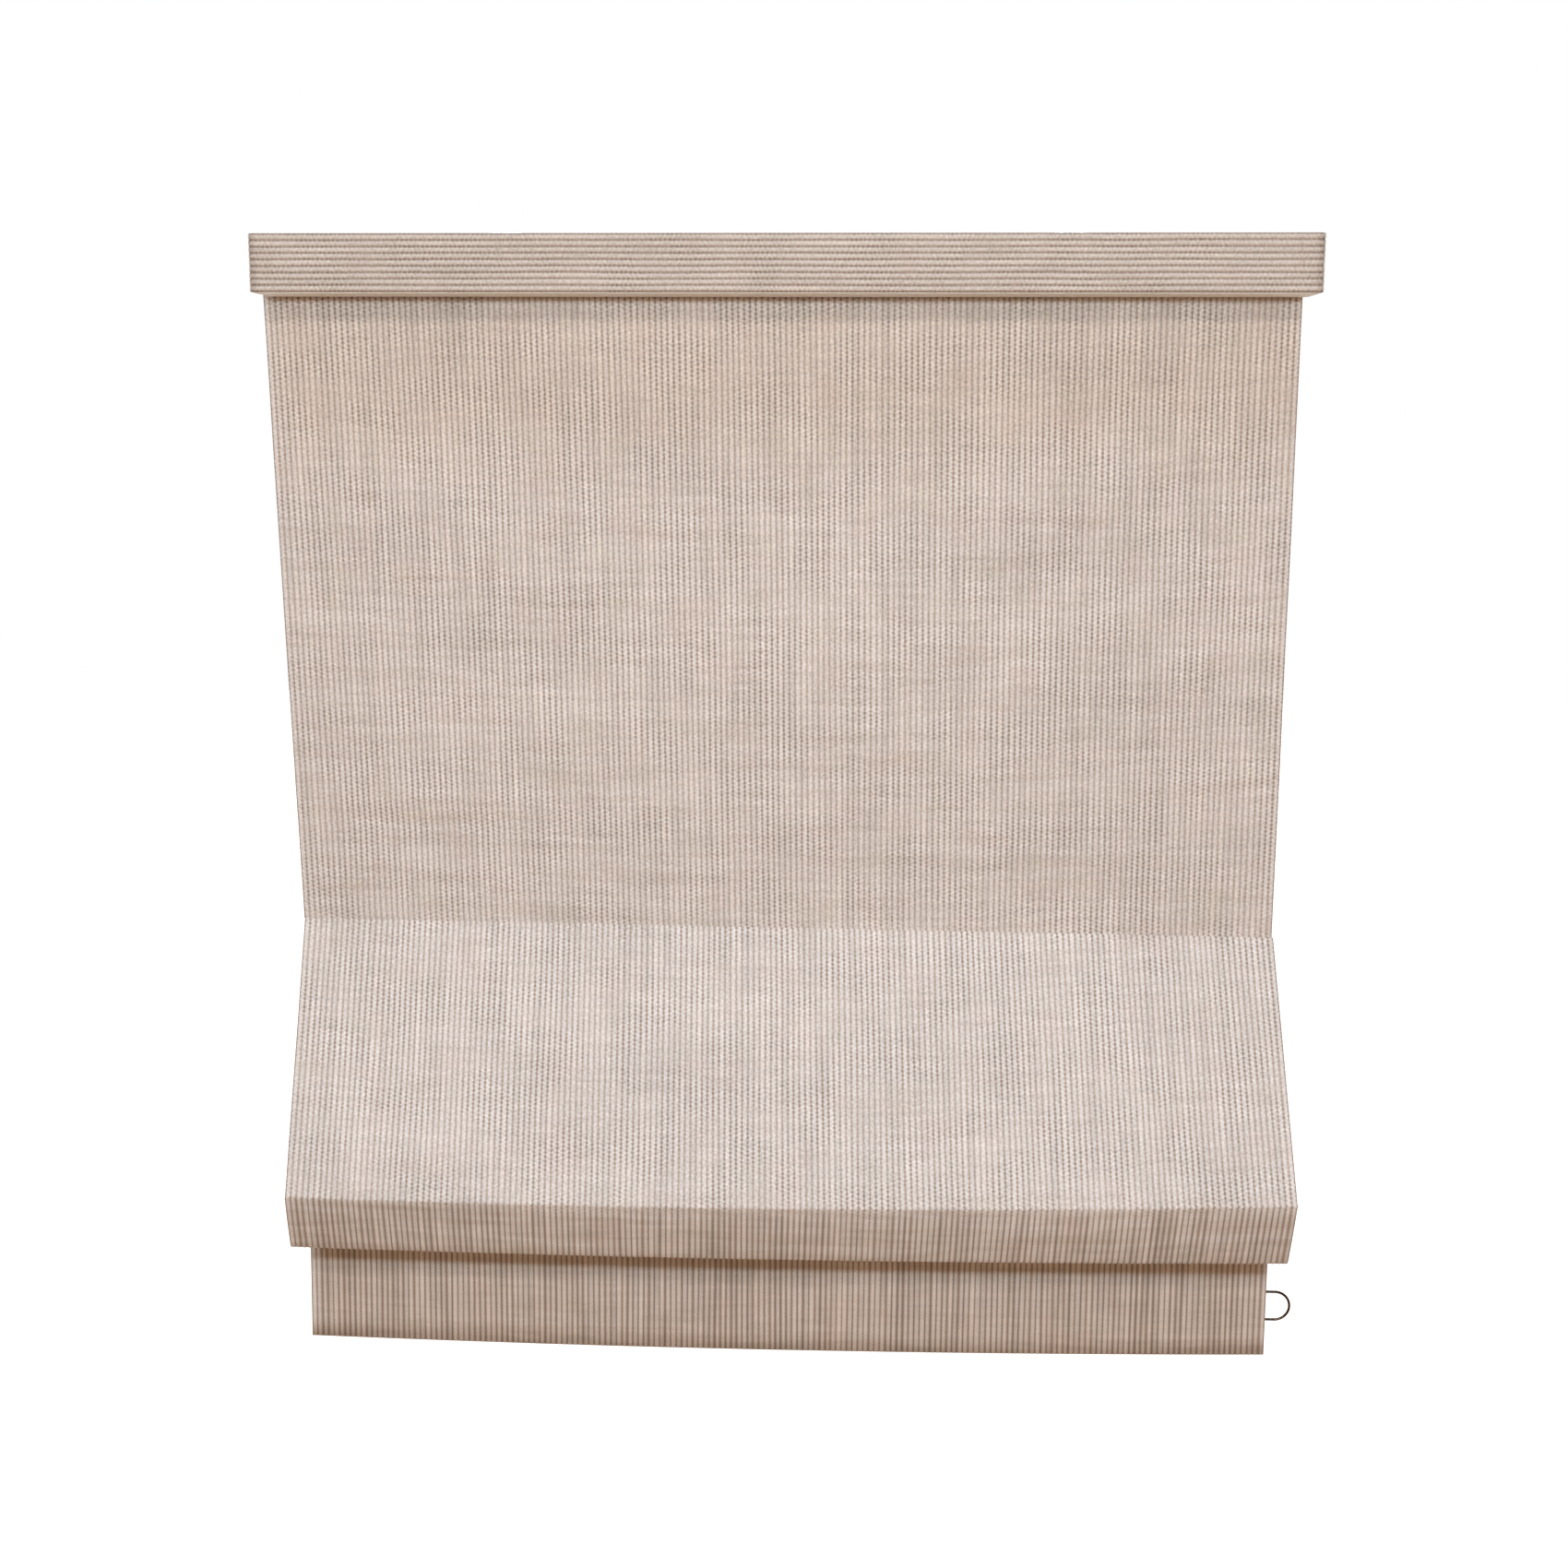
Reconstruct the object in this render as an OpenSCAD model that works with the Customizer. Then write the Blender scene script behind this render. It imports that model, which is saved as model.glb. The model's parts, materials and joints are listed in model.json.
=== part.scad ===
// Roman blind with a cloth-covered box pelmet, half raised.
// X runs along the width, the room is at -Y, the wall face is y = 0 and Z is up.
// The origin is the centre of the four wall screws.

/* [Blind] */
// Width of the cloth and of the pelmet
blind_w = 900; // [700:10:1200]

/* [Cloth] */
// Thickness of the cloth between its ribs
cloth_t = 1.2; // [0.8:0.1:1.6]
// Height of a woven rib above the cloth
rib_h = 0.8; // [0.4:0.1:1.2]
// Distance from one woven rib to the next
rib_pitch = 5.2; // [4.6:0.1:12]
// Clearance between cloth and what it lies on
cloth_gap = 0.2; // [0.1:0.05:0.3]

/* [Fall of the cloth] */
// Height of the cloth's top edge below the top of the headrail
cloth_start = 3; // [2:0.5:6]
// Fall from the underside of the pelmet to the upper crease
panel_fall = 565; // [400:5:800]
// Fall from the upper crease to the lip of the fold
fold_fall = 224; // [170:2:280]
// Height of the fold's face below its lip
face_fall = 64; // [48:1:80]
// Rise from the bottom of the fold to the tuck
tuck_rise = 70; // [52:1:90]
// Fall from the bottom of the fold to the hem
band_fall = 116; // [100:1:200]
// How far the lip stands out from the crease
fold_out = 104; // [80:1:130]
// How far the face leans back below the lip
face_back = 23; // [12:1:34]
// Radius of the cloth at the lip
lip_r = 4; // [2:0.5:6]
// Radius of the cloth at the bottom of the fold
fold_r = 8; // [5:0.5:11]
// Radius of the cloth in the tuck
tuck_r = 5; // [4:0.5:7]

/* [Pelmet] */
// Height of the covered pelmet
pelmet_h = 49; // [44:1:70]
// Depth of the covered pelmet
pelmet_d = 58; // [45:1:80]
// Gap between the pelmet and the ribs of the cloth behind it
pelmet_gap = 0.8; // [0.5:0.1:1.5]
// Wall of the pelmet's fascia
fascia_t = 2; // [1.5:0.1:3]
// Thickness of the fascia's end plates
end_t = 2.5; // [2:0.1:4]
// Width of the cover that is turned inside the fascia
turn_in = 10; // [6:0.5:16]
// Outer radius of the fascia's screw ports
port_r = 3.2; // [2.8:0.1:4]
// Radius of the end screws' shanks
end_screw_r = 1.4; // [1:0.1:1.8]
// Width of a pelmet clip
clip_w = 22; // [15:1:30]
// Thickness of a pelmet clip
clip_t = 1; // [0.8:0.1:1.2]
// Reach of a pelmet clip under the fascia
clip_reach = 25; // [15:1:35]
// Distance of the outer pelmet clips from the cloth's edges
clip_inset = 300; // [270:5:320]

/* [Headrail] */
// Depth of the headrail from back to front
rail_d = 44; // [41:1:50]
// Height of the headrail
rail_h = 34; // [32:1:40]
// Wall of the headrail
rail_t = 1.5; // [1:0.1:2]
// Width of the headrail's inward lips
rail_lip = 6; // [4:0.5:6.5]
// Height of the pelmet's top above the headrail
rail_drop = 11; // [9:0.5:13]
// Distance of the headrail's ends from the cloth's edges
rail_inset = 5; // [4:0.5:12]
// Thickness of the headrail's end caps
cap_t = 3; // [2:0.5:3.5]
// Thickness of each half of the hook and loop tape
tape_t = 1.2; // [0.8:0.1:2]
// Height of the hook and loop tape
tape_h = 22; // [15:1:26]

/* [Brackets] */
// Distance of a bracket from the cloth's edge
bracket_inset = 200; // [160:5:230]
// Width of a bracket
bracket_w = 36; // [24:1:44]
// Thickness of the bracket's steel
bracket_t = 2; // [1.5:0.1:2.5]
// Height of the bracket's plate above the screws' centre
bracket_rise = 9; // [8.5:0.5:14]
// Height of the bracket's plate above the pelmet
plate_show = 9; // [8:0.5:12]
// Radius of a screw hole
screw_r = 2.2; // [1.6:0.1:2.4]
// Distance between the two screws of a bracket
screw_gap = 10; // [8:0.5:11]

/* [Lift] */
// Distance of the outer lift cords from the cloth's edges
lift_inset = 90; // [60:5:130]
// Diameter of a lift cord
cord_d = 1.4; // [1:0.1:1.8]
// Width across the flats of the lift shaft
shaft_af = 6; // [5:0.1:6.6]
// Radius of the shaft's end journals
journal_r = 2.6; // [2:0.1:2.9]
// Radius of a cord spool's core
spool_r = 11; // [9:0.5:12]
// Radius of a cord spool's flanges
flange_r = 13.5; // [13:0.25:14]
// Width of a cord spool between its flanges
spool_w = 18; // [14:1:24]
// Thickness of a spool's flange
flange_t = 2; // [1.5:0.1:3]
// Radius of a spool's hubs
hub_r = 5; // [4.5:0.1:6]
// Turns of cord on a spool
cord_turns = 3; // [2:1:4]
// Floor of a spool cradle
cradle_t = 2.5; // [2:0.1:3]
// Thickness of a cradle's uprights
upright_t = 3; // [2:0.1:4]
// Outer radius of the lift spring
spring_r = 8; // [7:0.25:10]
// Wire of the lift spring
spring_wire = 1.4; // [1.2:0.05:1.6]
// Length of the lift spring
spring_l = 90; // [50:5:110]

/* [Battens and hem] */
// Diameter of a batten
batten_d = 4; // [3:0.5:5]
// Clearance of a batten in its pocket
batten_gap = 0.2; // [0.1:0.05:0.3]
// Thickness of the pocket cloth
pocket_t = 0.8; // [0.5:0.1:1]
// Inner radius of a cord ring
ring_ir = 3.6; // [3:0.1:4]
// Wire of a cord ring
ring_wire = 2; // [1.5:0.1:2.4]
// Radius of the stop bead below a lower cord ring
bead_r = 4.4; // [4.2:0.1:5]
// Height of the hem bar
hem_bar_h = 22; // [16:1:26]
// Thickness of the hem bar
hem_bar_t = 3; // [2:0.5:4]

/* [Hold-down ring] */
// Height of the ring over its wire
dee_h = 29.6; // [26:0.2:34]
// Length of the ring from its bar to the outside of its bow
dee_l = 32; // [27:0.5:38]
// Wire of the ring
dee_wire = 2.4; // [2:0.1:3]
// Height of the ring's middle above the hem
dee_rise = 47; // [44:1:70]
// Distance of the ring's bar from the cloth's edge
dee_inset = 6; // [5:0.5:9]
// Width of the webbing tab
tab_w = 18; // [12:1:18]
// Thickness of the webbing
tab_t = 1.2; // [0.8:0.1:1.5]
// Length of the tab that is sewn to the cloth
tab_l = 30; // [20:1:40]

/* [Hidden] */
$fn = 48;
// How far a cut runs past the face that it opens
overrun = 0.5;
// Radial running clearance of a turning piece
run_gap = 0.06;
// Clearance between two rigid pieces that are pushed together
push_gap = 0.1;
// Clearance between a turning piece and a fixed one beside it
side_gap = 0.4;

// Headrail: places of its faces
rail_gap = 0.6;
rail_back = -bracket_t - rail_gap;
rail_front = rail_back - rail_d;
pelmet_top = bracket_rise - plate_show;
rail_top = pelmet_top - rail_drop;
rail_floor = rail_top - rail_h;
rail_l = blind_w - 2 * rail_inset;
bracket_off = blind_w / 2 - bracket_inset;
clip_off = blind_w / 2 - clip_inset;

// Tapes and the top of the cloth
cloth_back = rail_front - 2 * tape_t;
cloth_top = rail_top - cloth_start;
tape_top = cloth_top - cloth_start;
tape_l = rail_l - 2 * rail_inset;

// Lift shaft and the line of the cords
flange_gap = 0.6;
shaft_y = rail_back - rail_d / 2;
shaft_z = rail_floor + rail_t + cradle_t + flange_gap + flange_r;
cord_gap = 0.3;
cord_y = shaft_y + spool_r + cord_d / 2 + cord_gap;
lift_off = blind_w / 2 - lift_inset;
lift_places = [-lift_off, 0, lift_off];
boss_l = 10;
boss_wall = 3;
cap_rim_t = 2;
cap_rim_l = 6;
hub_show = 1;
spool_l = spool_w + 2 * (flange_t + side_gap + upright_t + hub_show);
upright_wall = 3;
cradle_w = spool_w + 2 * (flange_t + side_gap + upright_t);
cradle_d = 34;
spigot_r = 3;
spigot_show = 1.5;
eye_r = 1.6;
spring_lap = 0.1;
spring_pitch = spring_wire - spring_lap;
spring_turns = floor(spring_l / spring_pitch);
spring_x = -bracket_off;
plug_l = 14;
plug_flange = 5;

// Battens, pockets, rings and the crease that they set
ring_or = ring_ir + ring_wire;
ring_mid = ring_ir + ring_wire / 2;
pocket_r = batten_d / 2 + batten_gap + pocket_t;
pocket_y = cord_y - ring_or - cloth_gap - pocket_r;
pocket_inset = 10;
batten_inset = 14;
pocket_tail = 9;
crease_y = pocket_y - pocket_r - cloth_gap;
tuck_seat = 14;
bead_drop = sqrt(pow(bead_r + ring_wire / 2 + cloth_gap, 2) - pow(ring_mid, 2));
bead_tail = 3;

// Corners of the cloth's back face, as [y, z] from the top edge down
crease_z = pelmet_top - pelmet_h - panel_fall;
lip_z = crease_z - fold_fall;
foot_z = lip_z - face_fall;
tuck_z = foot_z + tuck_rise;
hem_z = foot_z - band_fall;
lower_z = tuck_z - tuck_seat;
top_edge = [cloth_back, cloth_top];
tape_edge = [cloth_back, rail_floor];
crease = [crease_y, crease_z];
lip = [crease_y - fold_out, lip_z];
foot = [crease_y - fold_out + face_back, foot_z];
tuck = [crease_y, tuck_z];
hem = [crease_y, hem_z];
lip_points = 2;
fold_points = 4;
tuck_points = 4;

// Hem bar and its pocket
hem_gap = 0.2;
hem_slack = 1;
hem_pocket_t = hem_bar_t + 2 * (hem_gap + pocket_t);
hem_pocket_h = hem_bar_h + 2 * (hem_slack + pocket_t);
hem_pocket_y = crease_y + cloth_gap + hem_pocket_t / 2;
hem_pocket_z = hem_z + hem_slack + hem_pocket_h / 2;

// Hold-down ring and its tab
dee_half = (dee_h - dee_wire) / 2;
dee_corner = 4;
bow_x = dee_l - dee_wire / 2 - dee_half;
tab_loop_r = dee_wire / 2 + run_gap + tab_t;
dee_x = blind_w / 2 - dee_inset;
dee_y = crease_y + cloth_gap + tab_loop_r;
dee_z = hem_z + dee_rise;

// Pelmet: cloth faces between the ribs, then the fascia's outer faces
pelmet_back = cloth_back - cloth_t - rib_h - pelmet_gap;
cover_front = pelmet_back - pelmet_d + rib_h;
cover_top = pelmet_top - rib_h;
cover_floor = pelmet_top - pelmet_h + rib_h;
wrap = cloth_t + cloth_gap;
fascia_front = cover_front + wrap;
fascia_back = pelmet_back - wrap;
fascia_top = cover_top - wrap;
fascia_floor = cover_floor + wrap;
fascia_l = blind_w - 2 * (wrap + end_t);
port_sink = 0.6;
port_in = fascia_t + port_r - port_sink;
port_y = fascia_front + port_in;
port_places = [fascia_floor + port_in, fascia_top - port_in];
end_screw_l = 14;
end_head_r = 2 * end_screw_r;
clip_top = fascia_top - fascia_t - cloth_gap - cloth_t;
clip_hook = 3;
clip_stand = 1;

// Bracket
hook_gap = 0.3;
hook_drop = 2.4;
bracket_foot = 9;
plate_corner = 5;

function unit(v) = v / norm(v);
function turned(v, a) = [v[0] * cos(a) - v[1] * sin(a), v[0] * sin(a) + v[1] * cos(a)];

// Points of the arc that rounds corner b between a and c
function bend(a, b, c, r, count) =
    let (u = unit(a - b), v = unit(c - b), half = acos(u * v) / 2)
    let (middle = b + unit(u + v) * r / sin(half), start = b + u * r / tan(half) - middle)
    let (sweep = -sign(cross(u, v)) * (180 - 2 * half))
    [for (i = [0:count - 1]) middle + turned(start, sweep * i / (count - 1))];

// Front normal of the stretch from a to b, and the mitre where two stretches meet
function front(a, b) = let (d = unit(b - a)) [d[1], -d[0]];
function mitre(m, n) = (m + n) / (1 + m * n);

// Ribs on the outside of a flat stretch of cloth from a to b
function rib_row(a, b) =
    let (count = round(norm(b - a) / rib_pitch), out = -front(a, b))
    [for (i = [0:2 * count - 1]) a + (b - a) * i / (2 * count) + out * rib_h * (i % 2)];

cloth_path = concat([top_edge, tape_edge, crease], bend(crease, lip, foot, lip_r, lip_points),
    bend(lip, foot, tuck, fold_r, fold_points), bend(foot, tuck, hem, tuck_r, tuck_points), [hem]);

// A [y, z] outline drawn out along X
module along_x(length, x = 0) {
    translate([x, 0, 0])
        rotate([90, 0, 90])
            linear_extrude(length, center = true)
                children();
}

// A [radius, x] outline turned about the lift shaft
module about_shaft(x) {
    translate([x, shaft_y, shaft_z])
        rotate([0, 90, 0])
            rotate_extrude()
                children();
}

// The shaft's hexagon, wider by a gap on each flat
module shaft_hex(length, gap) {
    rotate([0, 90, 0])
        cylinder(d = (shaft_af + 2 * gap) / cos(30), h = length, center = true, $fn = 6);
}

// A rectangle between two [y, z] corners
module box_section(low, high) {
    translate(low)
        square(high - low);
}

// A flat bar's section with round edges, upright at [y, z]
module round_bar(at, thick, tall) {
    translate(at) {
        square([thick, tall - thick], center = true);
        for (side = [-1, 1])
            translate([0, side * (tall - thick) / 2])
                circle(d = thick);
    }
}

// Ribbed cloth swept along a path of its back face. Its two cut ends have a back point at each
// hollow between ribs, and the rows between them have one at each edge.
module ribbed_sheet(path, width) {
    rows = len(path);
    ribs = round(width / rib_pitch);
    columns = 2 * ribs + 1;
    middle = floor(ribs / 2);
    normals = [for (j = [0:rows - 2]) front(path[j], path[j + 1])];
    out = [for (j = [0:rows - 1]) j == 0 ? normals[0] : j == rows - 1 ? normals[rows - 2]
        : mitre(normals[j - 1], normals[j])];
    face_points = [for (j = [0:rows - 1], i = [0:columns - 1])
        let (p = path[j] + out[j] * (cloth_t + rib_h * (i % 2)))
        [width * (i / (columns - 1) - 0.5), p[0], p[1]]];
    back_points = [for (j = [0:rows - 1], i = [0:j == 0 || j == rows - 1 ? 1 : ribs:ribs])
        [width * (i / ribs - 0.5), path[j][0], path[j][1]]];
    top = rows * columns;
    hem = top + len(back_points) - ribs - 1;
    last = (rows - 1) * columns;
    left = [for (j = [0:rows - 1]) j == 0 ? top : j == rows - 1 ? hem : top + ribs + 2 * j - 1];
    right = [for (j = [0:rows - 1]) left[j] + (j == 0 || j == rows - 1 ? ribs : 1)];
    rib_faces = [for (j = [0:rows - 2], i = [0:columns - 2]) let (k = j * columns + i)
        [k, k + 1, k + 1 + columns, k + columns]];
    back_faces = [for (j = [1:rows - 3]) [right[j], left[j], left[j + 1], right[j + 1]]];
    edge_faces = [for (j = [0:rows - 2], side = [0, 1]) side == 0
        ? [left[j], j * columns, (j + 1) * columns, left[j + 1]]
        : [(j + 1) * columns - 1, right[j], right[j + 1], (j + 2) * columns - 1]];
    top_fan = [for (i = [0:ribs - 1]) [i < middle ? left[1] : right[1], top + i + 1, top + i]];
    hem_fan = [for (i = [0:ribs - 1])
        [i < middle ? left[rows - 2] : right[rows - 2], hem + i, hem + i + 1]];
    fans = concat(top_fan, hem_fan, [[left[1], right[1], top + middle],
        [right[rows - 2], left[rows - 2], hem + middle]]);
    top_cells = [for (i = [0:ribs - 1]) [top + i, top + i + 1, 2 * i + 2, 2 * i]];
    hem_cells = [for (i = [0:ribs - 1]) [hem + i + 1, hem + i, last + 2 * i, last + 2 * i + 2]];
    crests = [for (i = [0:ribs - 1], k = [0, 1]) let (c = 2 * i + 1)
        k == 0 ? [c + 1, c, c - 1] : [last + c - 1, last + c, last + c + 1]];
    polyhedron(concat(face_points, back_points), concat(rib_faces, back_faces, edge_faces, fans,
        top_cells, hem_cells, crests));
}

module blind_cloth() {
    color("#b9ad9d")
        ribbed_sheet(cloth_path, blind_w);
}

module headrail() {
    color("#d5d6d6")
        difference() {
            along_x(rail_l)
                difference() {
                    box_section([rail_front, rail_floor], [rail_back, rail_top]);
                    box_section([rail_front + rail_t, rail_floor + rail_t],
                        [rail_back - rail_t, rail_top - rail_t]);
                    box_section([rail_front + rail_t + rail_lip, rail_floor + rail_t],
                        [rail_back - rail_t - rail_lip, rail_top + overrun]);
                }
            for (x = lift_places)
                translate([x, cord_y, rail_floor - overrun])
                    cylinder(r = spigot_r + push_gap, h = rail_t + 2 * overrun);
        }
}

module rail_cap(side) {
    rim_in = rail_t + push_gap;
    color("#e9e7e2")
        translate([side * rail_l / 2, 0, 0])
            mirror([side > 0 ? 1 : 0, 0, 0]) {
                along_x(cap_t, -cap_t / 2)
                    box_section([rail_front, rail_floor], [rail_back, rail_top]);
                along_x(cap_rim_l, cap_rim_l / 2)
                    difference() {
                        box_section([rail_front + rim_in, rail_floor + rim_in],
                            [rail_back - rim_in, rail_top - rim_in]);
                        box_section([rail_front + rim_in + cap_rim_t, rail_floor + rim_in + cap_rim_t],
                            [rail_back - rim_in - cap_rim_t, rail_top - rim_in - cap_rim_t]);
                    }
                translate([0, shaft_y, shaft_z])
                    rotate([0, 90, 0])
                        difference() {
                            cylinder(r = journal_r + boss_wall, h = boss_l);
                            cylinder(r = journal_r + run_gap, h = boss_l + overrun);
                        }
            }
}

module bracket(x) {
    shelf_front = rail_front - hook_gap - bracket_t;
    color("#dcdcdb") {
        along_x(bracket_w, x) {
            box_section([-bracket_t, rail_floor - bracket_t], [0, rail_top + bracket_t]);
            box_section([-bracket_foot, rail_floor - bracket_t], [0, rail_floor]);
            box_section([shelf_front, rail_top], [0, rail_top + bracket_t]);
            box_section([shelf_front, rail_top - hook_drop],
                [shelf_front + bracket_t, rail_top + bracket_t]);
        }
        translate([x, 0, 0])
            rotate([90, 0, 0])
                linear_extrude(bracket_t)
                    difference() {
                        union() {
                            translate([-bracket_w / 2, rail_top])
                                square([bracket_w, bracket_rise - plate_corner - rail_top]);
                            translate([plate_corner - bracket_w / 2, rail_top])
                                square([bracket_w - 2 * plate_corner, bracket_rise - rail_top]);
                            for (side = [-1, 1])
                                translate([side * (bracket_w / 2 - plate_corner),
                                    bracket_rise - plate_corner])
                                    circle(plate_corner);
                        }
                        for (side = [-1, 1])
                            translate([0, side * screw_gap / 2])
                                circle(screw_r);
                    }
    }
}

module hook_tape() {
    color("#f0eee8")
        along_x(tape_l)
            box_section([rail_front - tape_t, tape_top - tape_h], [rail_front, tape_top]);
}

module loop_tape() {
    color("#f5f3ee")
        along_x(tape_l)
            box_section([cloth_back, tape_top - tape_h], [cloth_back + tape_t, tape_top]);
}

module lift_shaft() {
    hex_l = rail_l - 2 * (boss_l + side_gap);
    journal_l = boss_l - side_gap;
    color("#c9cbcd")
        translate([0, shaft_y, shaft_z]) {
            shaft_hex(hex_l, 0);
            rotate([0, 90, 0])
                cylinder(r = journal_r, h = hex_l + 2 * journal_l, center = true);
        }
}

module spool(x) {
    color("#f2f1ec")
        difference() {
            about_shaft(x) {
                translate([0, -spool_l / 2])
                    square([hub_r, spool_l]);
                translate([0, -spool_w / 2 - flange_t])
                    square([flange_r, flange_t]);
                translate([0, spool_w / 2])
                    square([flange_r, flange_t]);
                translate([0, -spool_w / 2])
                    square([spool_r, spool_w]);
            }
            translate([x, shaft_y, shaft_z])
                shaft_hex(spool_l + 2 * overrun, push_gap);
        }
}

module cradle(x) {
    floor_z = rail_floor + rail_t;
    color("#e4e2dc")
        difference() {
            union() {
                translate([x - cradle_w / 2, shaft_y - cradle_d / 2, floor_z])
                    cube([cradle_w, cradle_d, cradle_t]);
                for (side = [-1, 1])
                    along_x(upright_t, x + side * (cradle_w - upright_t) / 2) {
                        translate([shaft_y, shaft_z])
                            circle(hub_r + upright_wall);
                        box_section([shaft_y - hub_r - upright_wall, floor_z],
                            [shaft_y + hub_r + upright_wall, shaft_z]);
                    }
                translate([x, cord_y, rail_floor - spigot_show])
                    cylinder(r = spigot_r, h = spigot_show + rail_t + cradle_t);
            }
            translate([x, shaft_y, shaft_z])
                rotate([0, 90, 0])
                    cylinder(r = hub_r + run_gap, h = cradle_w + 2 * overrun, center = true);
            translate([x, cord_y, rail_floor - spigot_show - overrun])
                cylinder(r = eye_r, h = spigot_show + rail_t + cradle_t + 2 * overrun);
        }
}

module wound_cord(x) {
    turn_pitch = cord_d - spring_lap;
    color("#e8e3d8")
        about_shaft(x)
            for (turn = [1:cord_turns])
                translate([spool_r + push_gap + cord_d / 2, -cord_d - turn * turn_pitch])
                    circle(d = cord_d);
}

module lift_cord(x) {
    low = lower_z - bead_drop - bead_r - bead_tail;
    color("#e8e3d8")
        translate([x, cord_y, low])
            cylinder(d = cord_d, h = shaft_z - low);
}

module cord_beads() {
    color("#efece6")
        for (x = lift_places)
            translate([x, cord_y, lower_z - bead_drop])
                difference() {
                    sphere(bead_r);
                    cylinder(r = cord_d / 2 + push_gap, h = 2 * bead_r + 2 * overrun, center = true);
                }
}

module lift_spring() {
    color("#9a9c9e")
        about_shaft(spring_x)
            for (turn = [0:spring_turns - 1])
                translate([spring_r - spring_wire / 2, plug_flange + spring_wire / 2 + turn * spring_pitch])
                    circle(d = spring_wire);
}

// Plug that fills the headrail's section and holds the fixed end of the spring
module spring_anchor() {
    spigot = spring_r - spring_wire - push_gap;
    color("#3b3d40")
        difference() {
            union() {
                along_x(plug_flange, spring_x + plug_flange / 2)
                    box_section([rail_front + rail_t + push_gap, rail_floor + rail_t],
                        [rail_back - rail_t - push_gap, rail_top - rail_t - push_gap]);
                translate([spring_x, shaft_y, shaft_z])
                    rotate([0, 90, 0])
                        cylinder(r = spigot, h = plug_l);
            }
            translate([spring_x, shaft_y, shaft_z])
                rotate([0, 90, 0])
                    cylinder(d = shaft_af / cos(30) + 2 * side_gap, h = 3 * plug_l, center = true);
        }
}

// Collar on the shaft that winds the moving end of the spring
module spring_collar() {
    spigot = spring_r - spring_wire - side_gap;
    free_end = spring_x + plug_flange + spring_turns * spring_pitch + spring_lap + side_gap;
    color("#3b3d40")
        difference() {
            about_shaft(free_end) {
                square([spring_r + spring_wire, plug_flange]);
                translate([0, plug_flange - plug_l])
                    square([spigot, plug_l]);
            }
            translate([free_end, shaft_y, shaft_z])
                shaft_hex(3 * plug_l, push_gap);
        }
}

module pelmet_fascia() {
    color("#cfd0d0")
        along_x(fascia_l)
            difference() {
                union() {
                    difference() {
                        box_section([fascia_front, fascia_floor], [fascia_back, fascia_top]);
                        box_section([fascia_front + fascia_t, fascia_floor + fascia_t],
                            [fascia_back + overrun, fascia_top - fascia_t]);
                    }
                    for (z = port_places)
                        translate([port_y, z])
                            circle(port_r);
                }
                for (z = port_places)
                    translate([port_y, z])
                        circle(end_screw_r + push_gap);
            }
}

module pelmet_end(side) {
    color("#dedbd4")
        difference() {
            along_x(end_t, side * (fascia_l + end_t) / 2)
                box_section([fascia_front, fascia_floor], [fascia_back, fascia_top]);
            for (z = port_places)
                translate([side * fascia_l / 2, port_y, z])
                    rotate([0, side * 90, 0]) {
                        cylinder(r = end_screw_r + push_gap, h = 3 * end_t, center = true);
                        translate([0, 0, end_t - end_screw_r])
                            cylinder(r1 = end_screw_r + push_gap, r2 = end_head_r + push_gap,
                                h = end_screw_r);
                    }
        }
}

// Countersunk screws that hold the end plates to the fascia
module pelmet_end_screws() {
    color("#b9bbbd")
        for (side = [-1, 1], z = port_places)
            translate([side * fascia_l / 2, port_y, z])
                rotate([0, side * 90, 0]) {
                    translate([0, 0, end_t - end_screw_l])
                        cylinder(r = end_screw_r, h = end_screw_l);
                    translate([0, 0, end_t - end_screw_r])
                        cylinder(r1 = end_screw_r, r2 = end_head_r, h = end_screw_r);
                }
}

// Cloth glued round the fascia, with its ribs along X and its edges turned inside
module pelmet_cover() {
    floor_back = [pelmet_back, cover_floor];
    floor_front = [cover_front, cover_floor];
    top_front = [cover_front, cover_top];
    top_back = [pelmet_back, cover_top];
    inside_top = fascia_top - fascia_t - cloth_gap;
    inside_floor = fascia_floor + fascia_t + cloth_gap;
    color("#b3a797") {
        along_x(blind_w - 2 * cloth_t) {
            polygon(concat(rib_row(floor_back, floor_front), rib_row(floor_front, top_front),
                rib_row(top_front, top_back), [top_back, top_back - [0, cloth_t],
                top_front + [cloth_t, -cloth_t], floor_front + [cloth_t, cloth_t],
                floor_back + [0, cloth_t]]));
            box_section([pelmet_back - cloth_t, inside_top - cloth_t], top_back);
            box_section([pelmet_back - cloth_t, cover_floor], [pelmet_back, inside_floor + cloth_t]);
        }
        along_x(fascia_l - 2 * cloth_gap)
            for (low = [inside_top - cloth_t, inside_floor])
                box_section([pelmet_back - turn_in, low], [pelmet_back, low + cloth_t]);
        for (side = [-1, 1])
            along_x(cloth_t, side * (blind_w - cloth_t) / 2)
                box_section(floor_front, top_back);
    }
}

// Spring steel clip from the headrail's front lip to the underside of the fascia's top
module pelmet_clip(x) {
    lip_edge = rail_front + rail_t + rail_lip;
    riser = rail_front - clip_stand;
    color("#c3c6c9")
        along_x(clip_w, x) {
            box_section([lip_edge, rail_top - rail_t - clip_hook], [lip_edge + clip_t, rail_top + clip_t]);
            box_section([riser - clip_t, rail_top], [lip_edge + clip_t, rail_top + clip_t]);
            box_section([riser - clip_t, rail_top], [riser, clip_top]);
            box_section([riser - clip_t - clip_reach, clip_top - clip_t], [riser, clip_top]);
        }
}

module batten(z) {
    color("#efeee9")
        translate([0, pocket_y, z])
            rotate([0, 90, 0])
                cylinder(d = batten_d, h = blind_w - 2 * batten_inset, center = true);
}

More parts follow.
